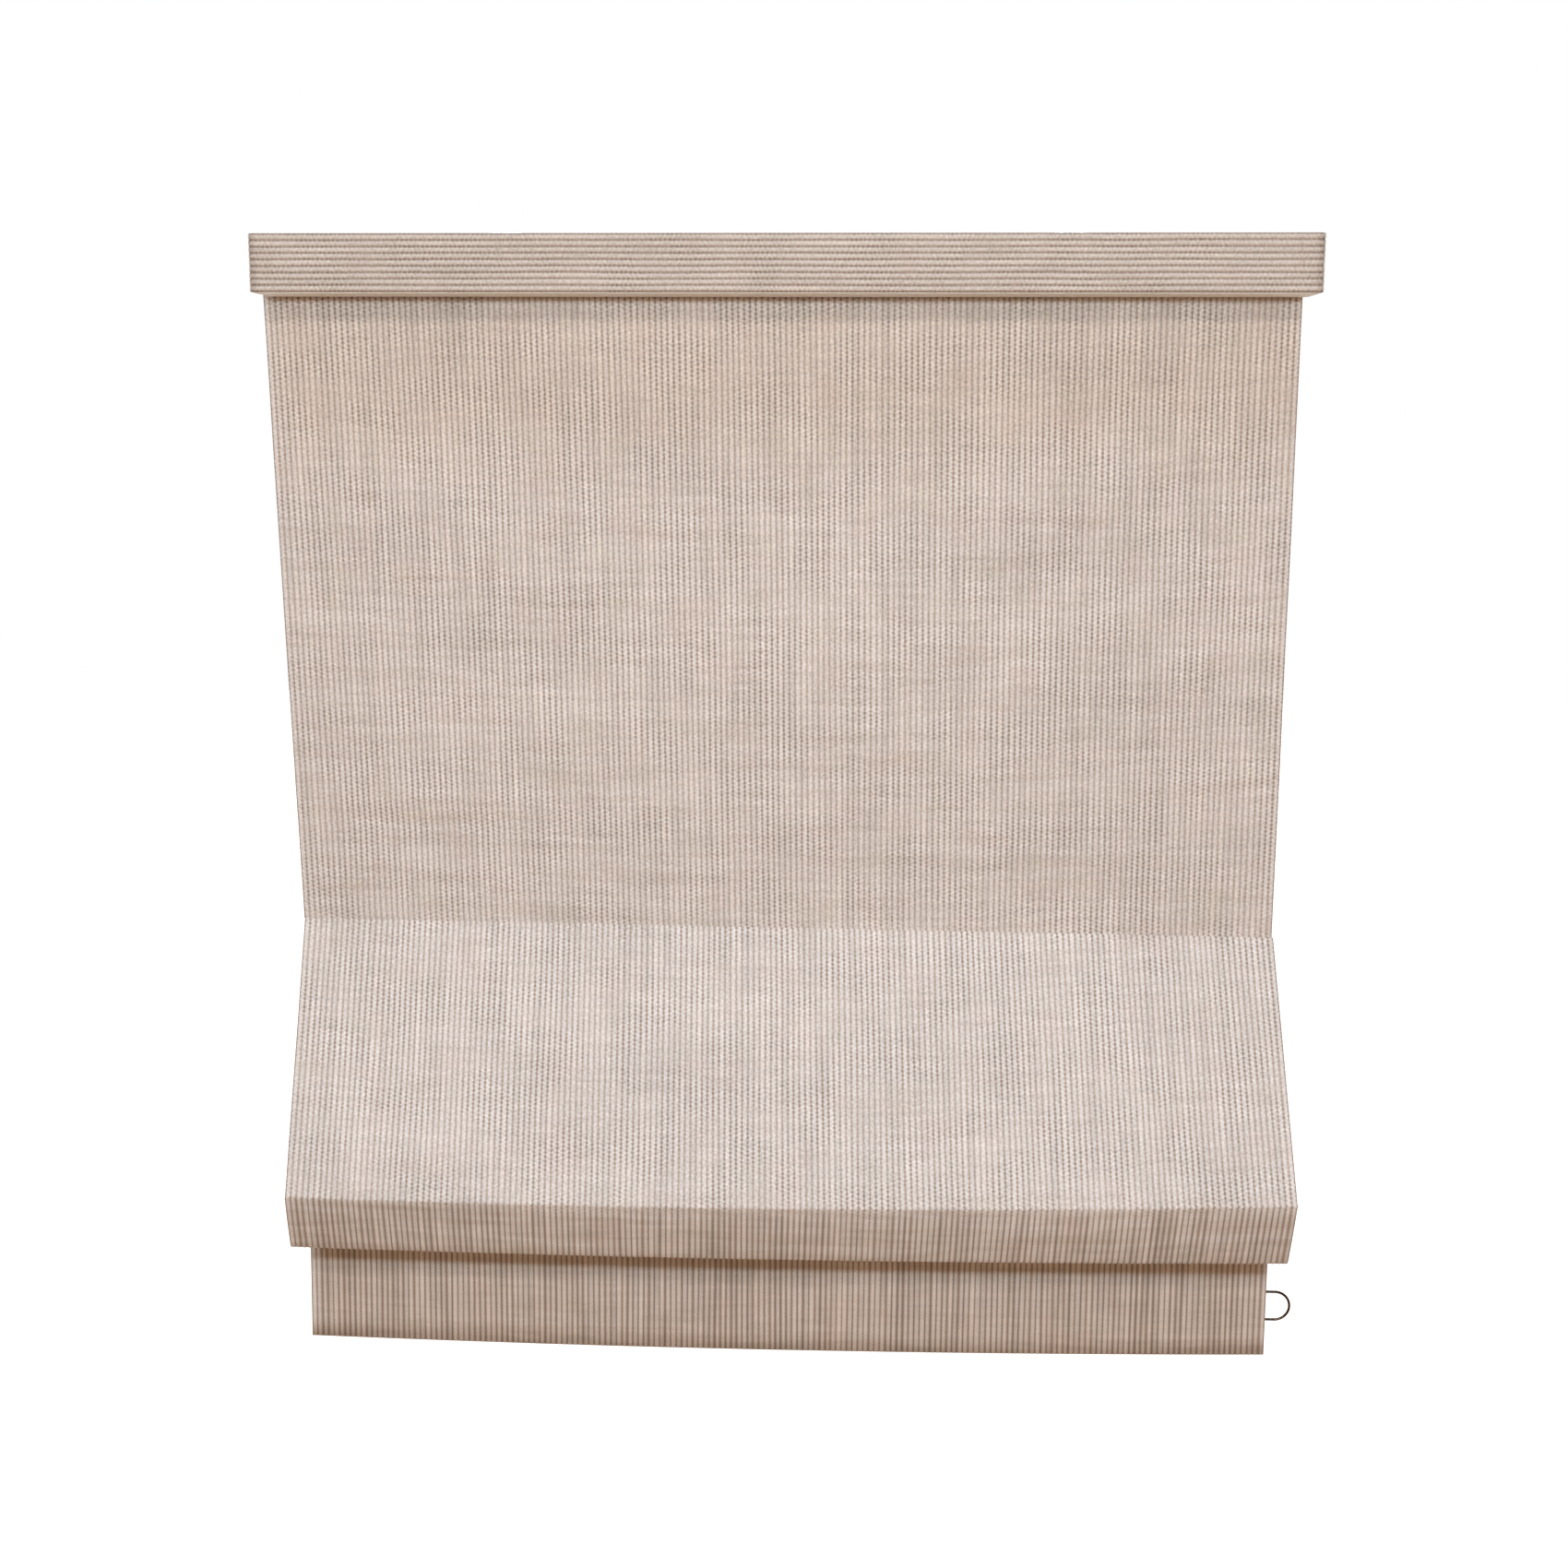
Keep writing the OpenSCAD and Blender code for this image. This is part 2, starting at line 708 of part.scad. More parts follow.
// Sewn tunnel for a batten, with its tail running up or down the cloth
module batten_pocket(z, way) {
    tail = z + way * pocket_tail;
    color("#d8d0c3")
        along_x(blind_w - 2 * pocket_inset)
            difference() {
                union() {
                    translate([pocket_y, z])
                        circle(pocket_r);
                    box_section([pocket_y - pocket_r, min(z, tail)],
                        [pocket_y - pocket_r + pocket_t, max(z, tail)]);
                }
                translate([pocket_y, z])
                    circle(batten_d / 2 + batten_gap);
            }
}

module cord_ring(x, z) {
    color("#f4f2ed")
        translate([x, cord_y, z])
            rotate_extrude()
                translate([ring_mid, 0])
                    circle(d = ring_wire);
}

module hem_bar() {
    color("#c4c6c8")
        along_x(blind_w - 2 * batten_inset)
            round_bar([hem_pocket_y, hem_pocket_z], hem_bar_t, hem_bar_h);
}

module hem_pocket() {
    color("#d8d0c3")
        along_x(blind_w - 2 * pocket_inset)
            difference() {
                round_bar([hem_pocket_y, hem_pocket_z], hem_pocket_t, hem_pocket_h);
                round_bar([hem_pocket_y, hem_pocket_z], hem_pocket_t - 2 * pocket_t,
                    hem_pocket_h - 2 * pocket_t);
            }
}

// Webbing folded round the ring's bar, its two layers sewn flat to the cloth
module ring_tab() {
    color("#a79c8c")
        translate([dee_x, dee_y, dee_z])
            difference() {
                linear_extrude(tab_w, center = true) {
                    circle(tab_loop_r);
                    translate([-tab_l, -tab_loop_r])
                        square([tab_l, 2 * tab_t]);
                }
                cylinder(r = dee_wire / 2 + run_gap, h = tab_w + 2 * overrun, center = true);
            }
}

// Ring with a straight upright bar, two short legs and a round bow
module hold_down_ring() {
    color("#6b5f55")
        translate([dee_x, dee_y, dee_z]) {
            cylinder(d = dee_wire, h = 2 * (dee_half - dee_corner), center = true);
            for (side = [-1, 1]) {
                translate([dee_corner, 0, side * (dee_half - dee_corner)])
                    rotate([90, side > 0 ? -90 : -180, 0])
                        rotate_extrude(angle = 90)
                            translate([dee_corner, 0])
                                circle(d = dee_wire);
                translate([dee_corner, 0, side * dee_half])
                    rotate([0, 90, 0])
                        cylinder(d = dee_wire, h = bow_x - dee_corner);
            }
            translate([bow_x, 0, 0])
                rotate([90, 90, 0])
                    rotate_extrude(angle = 180)
                        translate([dee_half, 0])
                            circle(d = dee_wire);
        }
}

headrail();
rail_cap(-1);  // rail_cap_left
rail_cap(1);  // rail_cap_right
bracket(-bracket_off);  // bracket_left
bracket(bracket_off);  // bracket_right
hook_tape();
loop_tape();
lift_shaft();
spool(-lift_off);  // spool_left
spool(0);  // spool_middle
spool(lift_off);  // spool_right
cradle(-lift_off);  // cradle_left
cradle(0);  // cradle_middle
cradle(lift_off);  // cradle_right
wound_cord(-lift_off);  // wound_cord_left
wound_cord(0);  // wound_cord_middle
wound_cord(lift_off);  // wound_cord_right
lift_cord(-lift_off);  // lift_cord_left
lift_cord(0);  // lift_cord_middle
lift_cord(lift_off);  // lift_cord_right
lift_spring();
spring_anchor();
spring_collar();
pelmet_fascia();
pelmet_end(-1);  // pelmet_end_left
pelmet_end(1);  // pelmet_end_right
pelmet_end_screws();
pelmet_cover();
pelmet_clip(-clip_off);  // pelmet_clip_left
pelmet_clip(0);  // pelmet_clip_middle
pelmet_clip(clip_off);  // pelmet_clip_right
blind_cloth();
batten(crease_z);  // upper_batten
batten(lower_z);  // lower_batten
batten_pocket(crease_z, 1);  // upper_pocket
batten_pocket(lower_z, -1);  // lower_pocket
cord_ring(-lift_off, crease_z);  // upper_ring_left
cord_ring(0, crease_z);  // upper_ring_middle
cord_ring(lift_off, crease_z);  // upper_ring_right
cord_ring(-lift_off, lower_z);  // lower_ring_left
cord_ring(0, lower_z);  // lower_ring_middle
cord_ring(lift_off, lower_z);  // lower_ring_right
cord_beads();
hem_bar();
hem_pocket();
ring_tab();
hold_down_ring();
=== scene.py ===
import json
import math

import bmesh
import bpy
from mathutils import Matrix, Vector, noise


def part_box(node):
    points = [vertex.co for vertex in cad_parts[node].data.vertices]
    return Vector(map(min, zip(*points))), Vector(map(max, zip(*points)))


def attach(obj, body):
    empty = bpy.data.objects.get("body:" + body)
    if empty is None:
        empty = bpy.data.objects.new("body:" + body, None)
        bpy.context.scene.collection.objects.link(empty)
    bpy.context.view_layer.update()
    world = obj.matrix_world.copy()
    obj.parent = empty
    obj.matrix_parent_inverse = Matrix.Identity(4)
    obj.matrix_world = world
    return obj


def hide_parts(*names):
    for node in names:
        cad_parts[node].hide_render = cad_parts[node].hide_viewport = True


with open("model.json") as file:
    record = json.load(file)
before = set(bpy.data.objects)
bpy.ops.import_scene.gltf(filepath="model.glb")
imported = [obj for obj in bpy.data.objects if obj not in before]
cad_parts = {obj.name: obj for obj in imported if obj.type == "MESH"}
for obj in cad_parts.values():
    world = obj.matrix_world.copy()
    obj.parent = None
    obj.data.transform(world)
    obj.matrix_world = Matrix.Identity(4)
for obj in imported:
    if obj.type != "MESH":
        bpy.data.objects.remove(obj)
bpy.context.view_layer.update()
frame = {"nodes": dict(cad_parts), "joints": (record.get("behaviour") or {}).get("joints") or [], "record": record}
nodes = frame["nodes"]
mm = 0.001
print("frame loaded with", len(nodes), "CAD nodes")


# Small helpers

def tone(code):  # sRGB hex to a linear colour
    parts = [int(code[k:k + 2], 16) / 255 for k in (1, 3, 5)]
    return [p / 12.92 if p < 0.04045 else ((p + 0.055) / 1.055) ** 2.4 for p in parts] + [1.0]


def addNode(tree, kind, sockets=(), **settings):  # one node, sockets by name or in order, returns its outputs
    node = tree.nodes.new("ShaderNode" + kind)
    for name, value in settings.items():
        setattr(node, name, value)
    filled = sockets.items() if isinstance(sockets, dict) else enumerate(sockets)
    for name, value in filled:
        if isinstance(value, bpy.types.NodeSocket):
            tree.links.new(value, node.inputs[name])
        else:
            node.inputs[name].default_value = value
    return node.outputs


def newMaterial(name):
    mat = bpy.data.materials.new(name)
    mat.use_nodes = True
    mat.node_tree.nodes.clear()
    return mat, mat.node_tree


def surface(tree, sockets):
    shader = addNode(tree, "BsdfPrincipled", sockets)
    addNode(tree, "OutputMaterial", {"Surface": shader[0]})


def boxOf(node):  # lowest and highest corner of a CAD node in mm
    return [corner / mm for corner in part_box(node)]


def makePiece(name, bm, mat, body, stands):
    mesh = bpy.data.meshes.new(name)
    bm.to_mesh(mesh)
    bm.free()
    mesh.polygons.foreach_set("use_smooth", [True] * len(mesh.polygons))
    mesh.materials.append(mat)
    piece = bpy.data.objects.new(name, mesh)
    bpy.context.scene.collection.objects.link(piece)
    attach(piece, body)
    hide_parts(*stands)
    return piece


def thicken(piece, thickness):  # the grid is the show side, the cloth's body lies behind it
    wall = piece.modifiers.new("cloth thickness", "SOLIDIFY")
    wall.thickness = thickness
    wall.offset = -1


def wrapGrid(columns, rows, place):  # a flat grid carried to its place, place gives a point and a weave UV
    bm = bmesh.new()
    bmesh.ops.create_grid(bm, x_segments=columns, y_segments=rows, size=0.5)
    weave = bm.loops.layers.uv.new("weave")
    spots = {}
    for vert in bm.verts:
        i, j = round((vert.co.x + 0.5) * columns), round((vert.co.y + 0.5) * rows)
        vert.co, spots[vert] = place(i, j)
    for face in bm.faces:
        for loop in face.loops:
            loop[weave].uv = spots[loop.vert]
    return bm


def waver(x, run, pattern):  # smooth noise: its sizes in mm along x and along the run, and a seed
    sizeX, sizeRun, seed = pattern
    return noise.noise(Vector((x / sizeX, run / sizeRun, seed)))


def roundedPath(corners, radii, counts, arcSteps):  # straight stretches cut into counts, corners rounded
    bends = []
    for k, corner in enumerate(corners):
        if radii[k] == 0:
            bends.append([corner])
            continue
        back, ahead = (corners[k - 1] - corner).normalized(), (corners[k + 1] - corner).normalized()
        half = back.angle(ahead) / 2
        middle = corner + (back + ahead).normalized() * radii[k] / math.sin(half)
        start = corner + back * radii[k] / math.tan(half) - middle
        turn = math.copysign(math.pi - 2 * half, ahead.x * back.y - ahead.y * back.x)
        bends.append([middle + Matrix.Rotation(turn * n / arcSteps, 2) @ start for n in range(arcSteps + 1)])
    points, cornerRows = [], []
    for k, bend in enumerate(bends):
        if points:
            last = points[-1]
            points += [last.lerp(bend[0], n / counts[k - 1]) for n in range(1, counts[k - 1])]
        cornerRows.append(len(points) + len(bend) // 2)
        points += bend
    return points, cornerRows


def arc(middle, radius, start, stop, steps):  # angles in degrees
    angles = [math.radians(start + (stop - start) * n / steps) for n in range(steps + 1)]
    return [middle + Vector((math.cos(a), math.sin(a))) * radius for a in angles]


def pathNormals(points):  # outward side of a [y, z] path whose sheet runs along +X
    normals = []
    for k in range(len(points)):
        run = points[min(k + 1, len(points) - 1)] - points[max(k - 1, 0)]
        normals.append(Vector((-run.y, run.x)).normalized())
    return normals


def pathRuns(points):  # distance along a path at each point
    runs = [0.0]
    for a, b in zip(points, points[1:]):
        runs.append(runs[-1] + (b - a).length)
    return runs


def tube(points, sides, radius, side, relief=None):  # closed tube, relief(around, along) scales its radius
    steps = len(points) - 1
    runs = pathRuns(points)

    def place(i, j):
        ahead = (points[min(j + 1, steps)] - points[max(j - 1, 0)]).normalized()
        level = (side - ahead * side.dot(ahead)).normalized()
        angle = 2 * math.pi * i / sides
        grow = relief(angle, runs[j]) if relief else 1.0
        out = (level * math.cos(angle) + ahead.cross(level) * math.sin(angle)) * radius * grow
        return points[j] + out, (2 * math.pi * radius * i / sides, runs[j])

    bm = wrapGrid(sides, steps, place)
    bmesh.ops.remove_doubles(bm, verts=bm.verts, dist=radius * 0.01)   # joins the seam along the tube
    bmesh.ops.holes_fill(bm, edges=[e for e in bm.edges if e.is_boundary], sides=0)
    return bm


def stepped(places, values, at):  # straight lines through the values given at rising places
    for k in range(1, len(places)):
        if at <= places[k] or k == len(places) - 1:
            t = min(1.0, max(0.0, (at - places[k - 1]) / (places[k] - places[k - 1])))
            return values[k - 1] + (values[k] - values[k - 1]) * t


def curveThrough(values, t):  # through a left, middle and right value, t from -1 to 1
    left, middle, right = values
    return middle + (right - left) / 2 * t + ((left + right) / 2 - middle) * t * t


# Materials

ribLook = {
    "ribPitch": 5.2, "crestEdge": (0.05, 0.34),        # mm between woven ribs, where a rib rises from its gap
    "weftPitch": 3.9, "weftStray": 0.7,                # mm between the weft's knots along a gap, uneven steps
    "knotEdge": (0.15, 0.4), "weftGlintEdge": (0.3, 0.08), "weftGlintShare": 0.8,
    "crest": "#e0d8d3", "weftGlint": "#f2edea", "gap": "#c2b5ab", "knot": "#9c8b80", "foldShadeGap": "#a29185",
    "pink": "#dcc8c0", "pinkShare": 0.35, "sage": "#d3cfc2", "sageShare": 0.4,
    "patch": 42,            # mm, patches where the weft shows or the dye leans pink or sage
    "weftShow": (0.35, 0.65), "weftLeast": 0.25, "dyeLean": (0.52, 0.75),     # from which patch values
    "slub": (50, 5), "slubShade": 0.2,       # mm, uneven weft, long across the ribs and short along them
    "blotch": (210, 70), "blotchShade": 0.16,          # mm, soft uneven dye
    "streak": 150, "streakScale": 1.37, "streakShade": (0.5, 0.3),   # mm along a rib, shades smooth and hung
    "fibre": 2.4, "fibreShade": 0.65,        # mm, coarser than real fibres so that they show
    "weaveRise": 0.15, "crumple": (170, 26), "crumpleRise": 2.4,     # mm, relief and creases of hung cloth
    # The cloth is pressed smoother below the lip, in mm up from the hem, with less even gaps, and there the gaps
    # are painted darker as the shade under the fold
    "smoothBelow": 343, "smoothBlend": 12, "smoothRough": 0.3, "foldShadeShare": 0.9,
    "unevenWidth": 0.7, "unevenDepth": 0.3, "unevenHung": 0.15,      # spread of the gaps' widths and tones
}
# Painted shade: the pelmet's copy of the cloth has darker tones, standing in for the shade of ribs that lie across
# the light
pelmetShadedLook = dict(ribLook, crest="#d2c7be", weftGlint="#ddd3cb", gap="#ab9c91", knot="#8f7f74",
                  pink="#c9b3aa", sage="#bdb9ab", slubShade=0.08, blotchShade=0.12,
                  crumpleRise=0, smoothBelow=0)


def wovenRep(name, look):
    # Thick warp cords bound by fine weft: matt, dotted in the gaps, uneven from cord to cord
    mat, tree = newMaterial(name)
    eased = {"interpolation_type": "SMOOTHSTEP"}
    uv = addNode(tree, "UVMap", uv_map="weave")["UV"]
    across, along, _ = addNode(tree, "SeparateXYZ", [uv])

    def spread(size):  # noise with its own size across and along the ribs, three patterns at once
        scale = (1 / (size[0] * mm), 1 / (size[1] * mm), 1)
        scaled = addNode(tree, "Mapping", {"Vector": uv, "Scale": scale})[0]
        return addNode(tree, "TexNoise", {"Vector": scaled, "Scale": 1.0, "Detail": 2.0},
                       noise_dimensions="2D")

    grain = spread((look["fibre"], look["fibre"]))["Fac"]
    patches = spread((look["patch"], look["patch"]))["Color"]
    showPatch, pinkPatch, sagePatch = addNode(tree, "SeparateColor", [patches])
    ribs = addNode(tree, "Math", [across, look["ribPitch"] * mm], operation="DIVIDE")[0]
    ribNumber = addNode(tree, "Math", [ribs], operation="FLOOR")[0]
    gapNumber = addNode(tree, "Math", [ribs], operation="ROUND")[0]
    fromGap = addNode(tree, "Math", [ribs, 0.5], operation="PINGPONG")[0]
    border = [(look["smoothBelow"] + side * look["smoothBlend"]) * mm for side in (-1, 1)]
    roughSpan = (look["smoothRough"], 1.0)
    rough = addNode(tree, "MapRange", [along, *border, *roughSpan], **eased)[0]

    # No two gaps are quite as wide or as deep, which shows most where the cloth is smooth
    chance = addNode(tree, "TexWhiteNoise", {"W": gapNumber}, noise_dimensions="1D")["Color"]
    wider, deeper, _ = addNode(tree, "SeparateColor", [chance])
    gapSizes = []
    for spot, most in ((wider, look["unevenWidth"]), (deeper, look["unevenDepth"])):
        centred = addNode(tree, "Math", [spot, 0.5], operation="SUBTRACT")[0]
        share = addNode(tree, "MapRange", [rough, *roughSpan, most, look["unevenHung"] * most], **eased)[0]
        gapSizes.append(addNode(tree, "Math", [centred, share, 1.0], operation="MULTIPLY_ADD")[0])
    gapWidth, gapDepth = gapSizes
    fromGap = addNode(tree, "Math", [fromGap, gapWidth], operation="DIVIDE")[0]
    crest = addNode(tree, "MapRange", [fromGap, *look["crestEdge"], 0.0, 1.0], **eased)[0]

    # Weft knots in the gaps, set half a step over in every other gap, with painted highlights on the crests
    # between them
    wefts = addNode(tree, "Math", [along, look["weftPitch"] * mm], operation="DIVIDE")[0]
    wefts = addNode(tree, "Math", [gapNumber, 0.5, wefts], operation="MULTIPLY_ADD")[0]
    wefts = addNode(tree, "Math", [grain, look["weftStray"], wefts], operation="MULTIPLY_ADD")[0]
    fromWeft = addNode(tree, "Math", [wefts, 0.5], operation="PINGPONG")[0]
    show = addNode(tree, "MapRange", [showPatch, *look["weftShow"], look["weftLeast"], 1.0], **eased)[0]
    show = addNode(tree, "Math", [rough, show], operation="MULTIPLY")[0]
    dots = []
    for edge, most in ((look["knotEdge"], 1.0), (look["weftGlintEdge"], look["weftGlintShare"])):
        dot = addNode(tree, "MapRange", [fromWeft, *edge, 0.0, most], **eased)[0]
        dots.append(addNode(tree, "Math", [show, dot], operation="MULTIPLY")[0])
    knot, weftGlint = dots

    ribTone = tone(look["crest"])
    for patch, dye in ((pinkPatch, "pink"), (sagePatch, "sage")):
        lean = addNode(tree, "MapRange", [patch, *look["dyeLean"], 0.0, look[dye + "Share"]], **eased)[0]
        ribTone = addNode(tree, "MixRGB", [lean, ribTone, tone(look[dye])])[0]
    # Painted highlight: the crests are lightened where the weft crosses them
    ribTone = addNode(tree, "MixRGB", [weftGlint, ribTone, tone(look["weftGlint"])])[0]
    # Painted shade: below the lip the gaps darken towards a browner tone, standing in for the shade under the fold
    foldShade = addNode(tree, "MapRange", [rough, *roughSpan, look["foldShadeShare"], 0.0], **eased)[0]
    gapTone = addNode(tree, "MixRGB", [foldShade, tone(look["gap"]), tone(look["foldShadeGap"])])[0]
    gapTone = addNode(tree, "VectorMath", {0: gapTone, "Scale": gapDepth}, operation="SCALE")[0]
    gapTone = addNode(tree, "MixRGB", [knot, gapTone, tone(look["knot"])])[0]
    # Painted shade, in part: the gap tones are the weft's own darker colour, deepened to stand in for the shade in
    # the grooves between the ribs
    weaveTone = addNode(tree, "MixRGB", [crest, gapTone, ribTone])[0]

    # Uneven strength: rib by rib, weft by weft, dye and fibres
    stretch = addNode(tree, "Math", [along, look["streak"] * mm], operation="DIVIDE")[0]
    ribSpot = addNode(tree, "CombineXYZ", [ribNumber, stretch])[0]
    streak = addNode(tree, "TexNoise", {"Vector": ribSpot, "Scale": look["streakScale"], "Detail": 2.0},
                     noise_dimensions="2D")["Fac"]
    streakShade = addNode(tree, "MapRange", [rough, *roughSpan, *look["streakShade"]], **eased)[0]
    fibreShade = addNode(tree, "Math", [rough, look["fibreShade"]], operation="MULTIPLY")[0]
    strength = 1.0
    for pattern, shade in ((streak, streakShade), (spread(look["slub"])["Fac"], look["slubShade"]),
                           (spread(look["blotch"])["Fac"], look["blotchShade"]), (grain, fibreShade)):
        centred = addNode(tree, "Math", [pattern, 0.5], operation="SUBTRACT")[0]
        strength = addNode(tree, "Math", [centred, shade, strength], operation="MULTIPLY_ADD")[0]
    colour = addNode(tree, "VectorMath", {0: weaveTone, "Scale": strength}, operation="SCALE")[0]

    raised = addNode(tree, "Math", [grain, 0.5, crest], operation="MULTIPLY_ADD")[0]
    raised = addNode(tree, "Math", [raised, knot], operation="SUBTRACT")[0]
    raised = addNode(tree, "Math", [raised, look["weaveRise"]], operation="MULTIPLY")[0]
    creases = spread(look["crumple"])["Fac"]
    raised = addNode(tree, "Math", [creases, look["crumpleRise"], raised], operation="MULTIPLY_ADD")[0]
    bump = addNode(tree, "Bump", {"Height": raised, "Distance": mm})[0]
    surface(tree, {"Base Color": colour, "Roughness": 0.88, "Specular IOR Level": 0.25, "Normal": bump,
                   "Sheen Weight": 0.25, "Sheen Roughness": 0.45, "Sheen Tint": tone("#fff4e8")})
    return mat


noiseSpan = (0.3, 0.7)      # where most values of a noise lie
plainWeaves = {  # colour of the threads, colour between them and thread spacing in mm
    "plain cotton weave": ("#d9cfbf", "#b3a792", 1.1),
    "polyester webbing": ("#aa9d8a", "#7d705f", 1.5),
    "hook and loop pile": ("#f0eee8", "#c9c5bb", 1.6),
    "braided polyester cord": ("#ece7db", "#b9b19f", 0.9),
    "sewing thread": ("#e9dfd0", "#bdb09b", 0.4),
    # painted light: the lining's near-white tones stand in for light bounced up under the pelmet
    "pale lining cloth, painted bounce light": ("#fffcf6", "#f1e9dd", 0.8),
}
threadLook = {"over": (-0.6, 0.8), "rise": 0.2, "slubThreads": 6, "slubShade": (0.9, 1.06)}   # rise in mm


def plainWeave(name):
    # Matt threads over and under: fine chequered light and shade
    mat, tree = newMaterial(name)
    look = threadLook
    threadTone, gapTone, spacing = plainWeaves[name]
    uv = addNode(tree, "UVMap", uv_map="weave")["UV"]
    across, along, _ = addNode(tree, "SeparateXYZ", [uv])
    waves = []
    for run in (across, along):
        step = addNode(tree, "Math", [run, math.pi / (spacing * mm)], operation="MULTIPLY")[0]
        waves.append(addNode(tree, "Math", [step], operation="SINE")[0])
    over = addNode(tree, "Math", waves, operation="MULTIPLY")[0]
    over = addNode(tree, "MapRange", [over, *look["over"]])[0]
    weaveTone = addNode(tree, "MixRGB", [over, tone(gapTone), tone(threadTone)])[0]
    slubScale = 1 / (look["slubThreads"] * spacing * mm)
    slub = addNode(tree, "TexNoise", {"Vector": uv, "Scale": slubScale, "Detail": 3.0},
                   noise_dimensions="2D")["Fac"]
    strength = addNode(tree, "MapRange", [slub, *noiseSpan, *look["slubShade"]])[0]
    colour = addNode(tree, "VectorMath", {0: weaveTone, "Scale": strength}, operation="SCALE")[0]
    bump = addNode(tree, "Bump", {"Height": over, "Distance": look["rise"] * mm, "Strength": 0.7})[0]
    surface(tree, {"Base Color": colour, "Roughness": 0.85, "Specular IOR Level": 0.3, "Normal": bump,
                   "Sheen Weight": 0.2, "Sheen Roughness": 0.5})
    return mat


metals = {  # two tones, roughness range, grain in mm along X, Y and Z, bump in mm
    "anodised aluminium": ("#d9dadb", "#c3c5c7", (0.3, 0.42), (180, 0.7, 0.7), 0.01),  # satin, drawn lines
    "drawn aluminium": ("#cfd1d4", "#a9acb0", (0.22, 0.36), (240, 0.5, 0.5), 0.015),   # brighter, long lines
    "zinc plated steel": ("#d2d6d8", "#aeb4b9", (0.24, 0.4), (3, 3, 3), 0.01),         # cloudy bluish plate
    "oiled spring steel": ("#8d9094", "#5b5d60", (0.25, 0.45), (2, 2, 2), 0.01),       # dark, slightly wet
    "dark nickel plate": ("#6b5b4e", "#4c4038", (0.08, 0.16), (4, 4, 4), 0.004),       # deep mirror, its dark warm tones a painted reflection of dark surroundings
}
plastics = {  # the same, then IOR and glow
    "moulded white ABS":       # soft even gloss
        ("#efece5", "#e2ded4", (0.32, 0.46), (1.2, 1.2, 1.2), 0.03, 1.53, 0.0),
    "moulded dark nylon":      # dull spark texture
        ("#34363a", "#222326", (0.4, 0.55), (0.8, 0.8, 0.8), 0.03, 1.52, 0.0),
    "glass-fibre rod":         # milky, fine fibres along it
        ("#efeee6", "#d9d7c9", (0.35, 0.5), (30, 0.5, 0.5), 0.03, 1.55, 0.0),
    "lit acrylic floor":       # even and pale, lit from below
        ("#ffffff", "#fafaf8", (0.5, 0.6), (40, 40, 40), 0.03, 1.49, 0.8),
}


def hardSurface(name, finish, detail, firmness, ownSockets):
    # Grain that shifts the tone and the polish a little, so that no face is quite even
    mat, tree = newMaterial(name)
    light, dark, rough, grainSize, rise = finish
    place = addNode(tree, "TexCoord")["Object"]
    scaled = addNode(tree, "Mapping", {"Vector": place, "Scale": [1 / (size * mm) for size in grainSize]})[0]
    grain = addNode(tree, "TexNoise", {"Vector": scaled, "Scale": 1.0, "Detail": detail})["Fac"]
    colour = addNode(tree, "MixRGB", [grain, tone(dark), tone(light)])[0]
    polish = addNode(tree, "MapRange", [grain, *noiseSpan, *rough])[0]
    bump = addNode(tree, "Bump", {"Height": grain, "Distance": rise * mm, "Strength": firmness})[0]
    surface(tree, {"Base Color": colour, "Roughness": polish, "Normal": bump, **ownSockets})
    return mat


def metal(name):
    return hardSurface(name, metals[name], 4.0, 0.5, {"Metallic": 1.0})


def plastic(name):
    *finish, ior, glow = plastics[name]
    return hardSurface(name, finish, 3.0, 0.4, {
        "IOR": ior, "Emission Color": tone("#ffffff"), "Emission Strength": glow})


rep = wovenRep("woven rep cloth", ribLook)
# The pelmet's copy of the cloth carries painted shade
pelmetShadedRep = wovenRep("woven rep cloth across, painted shade", pelmetShadedLook)
cotton, web, pile, braid, thread, bounceLitLining = [plainWeave(name) for name in plainWeaves]
slotMaterials = {
    "ribbed_cloth": rep, "pocket_cloth": cotton, "webbing": web, "tape": pile, "cord": braid,
    "rail_aluminium": metal("anodised aluminium"), "shaft_aluminium": metal("drawn aluminium"),
    "bracket_steel": metal("zinc plated steel"), "spring_steel": metal("oiled spring steel"),
    # The ring's plate carries a painted dark reflection
    "plated_ring": metal("dark nickel plate"), "white_plastic": plastic("moulded white ABS"),
    "dark_plastic": plastic("moulded dark nylon"), "batten": plastic("glass-fibre rod"),
}
for sub in frame["record"]["subparts"]:
    mesh = nodes[sub["node"]].data
    mesh.materials.clear()
    mesh.materials.append(slotMaterials[sub["material_slot"]])
print("materials made:", len(bpy.data.materials))


# Face cloth, one sheet from the tape over the crease, lip, foot and tuck to the hem

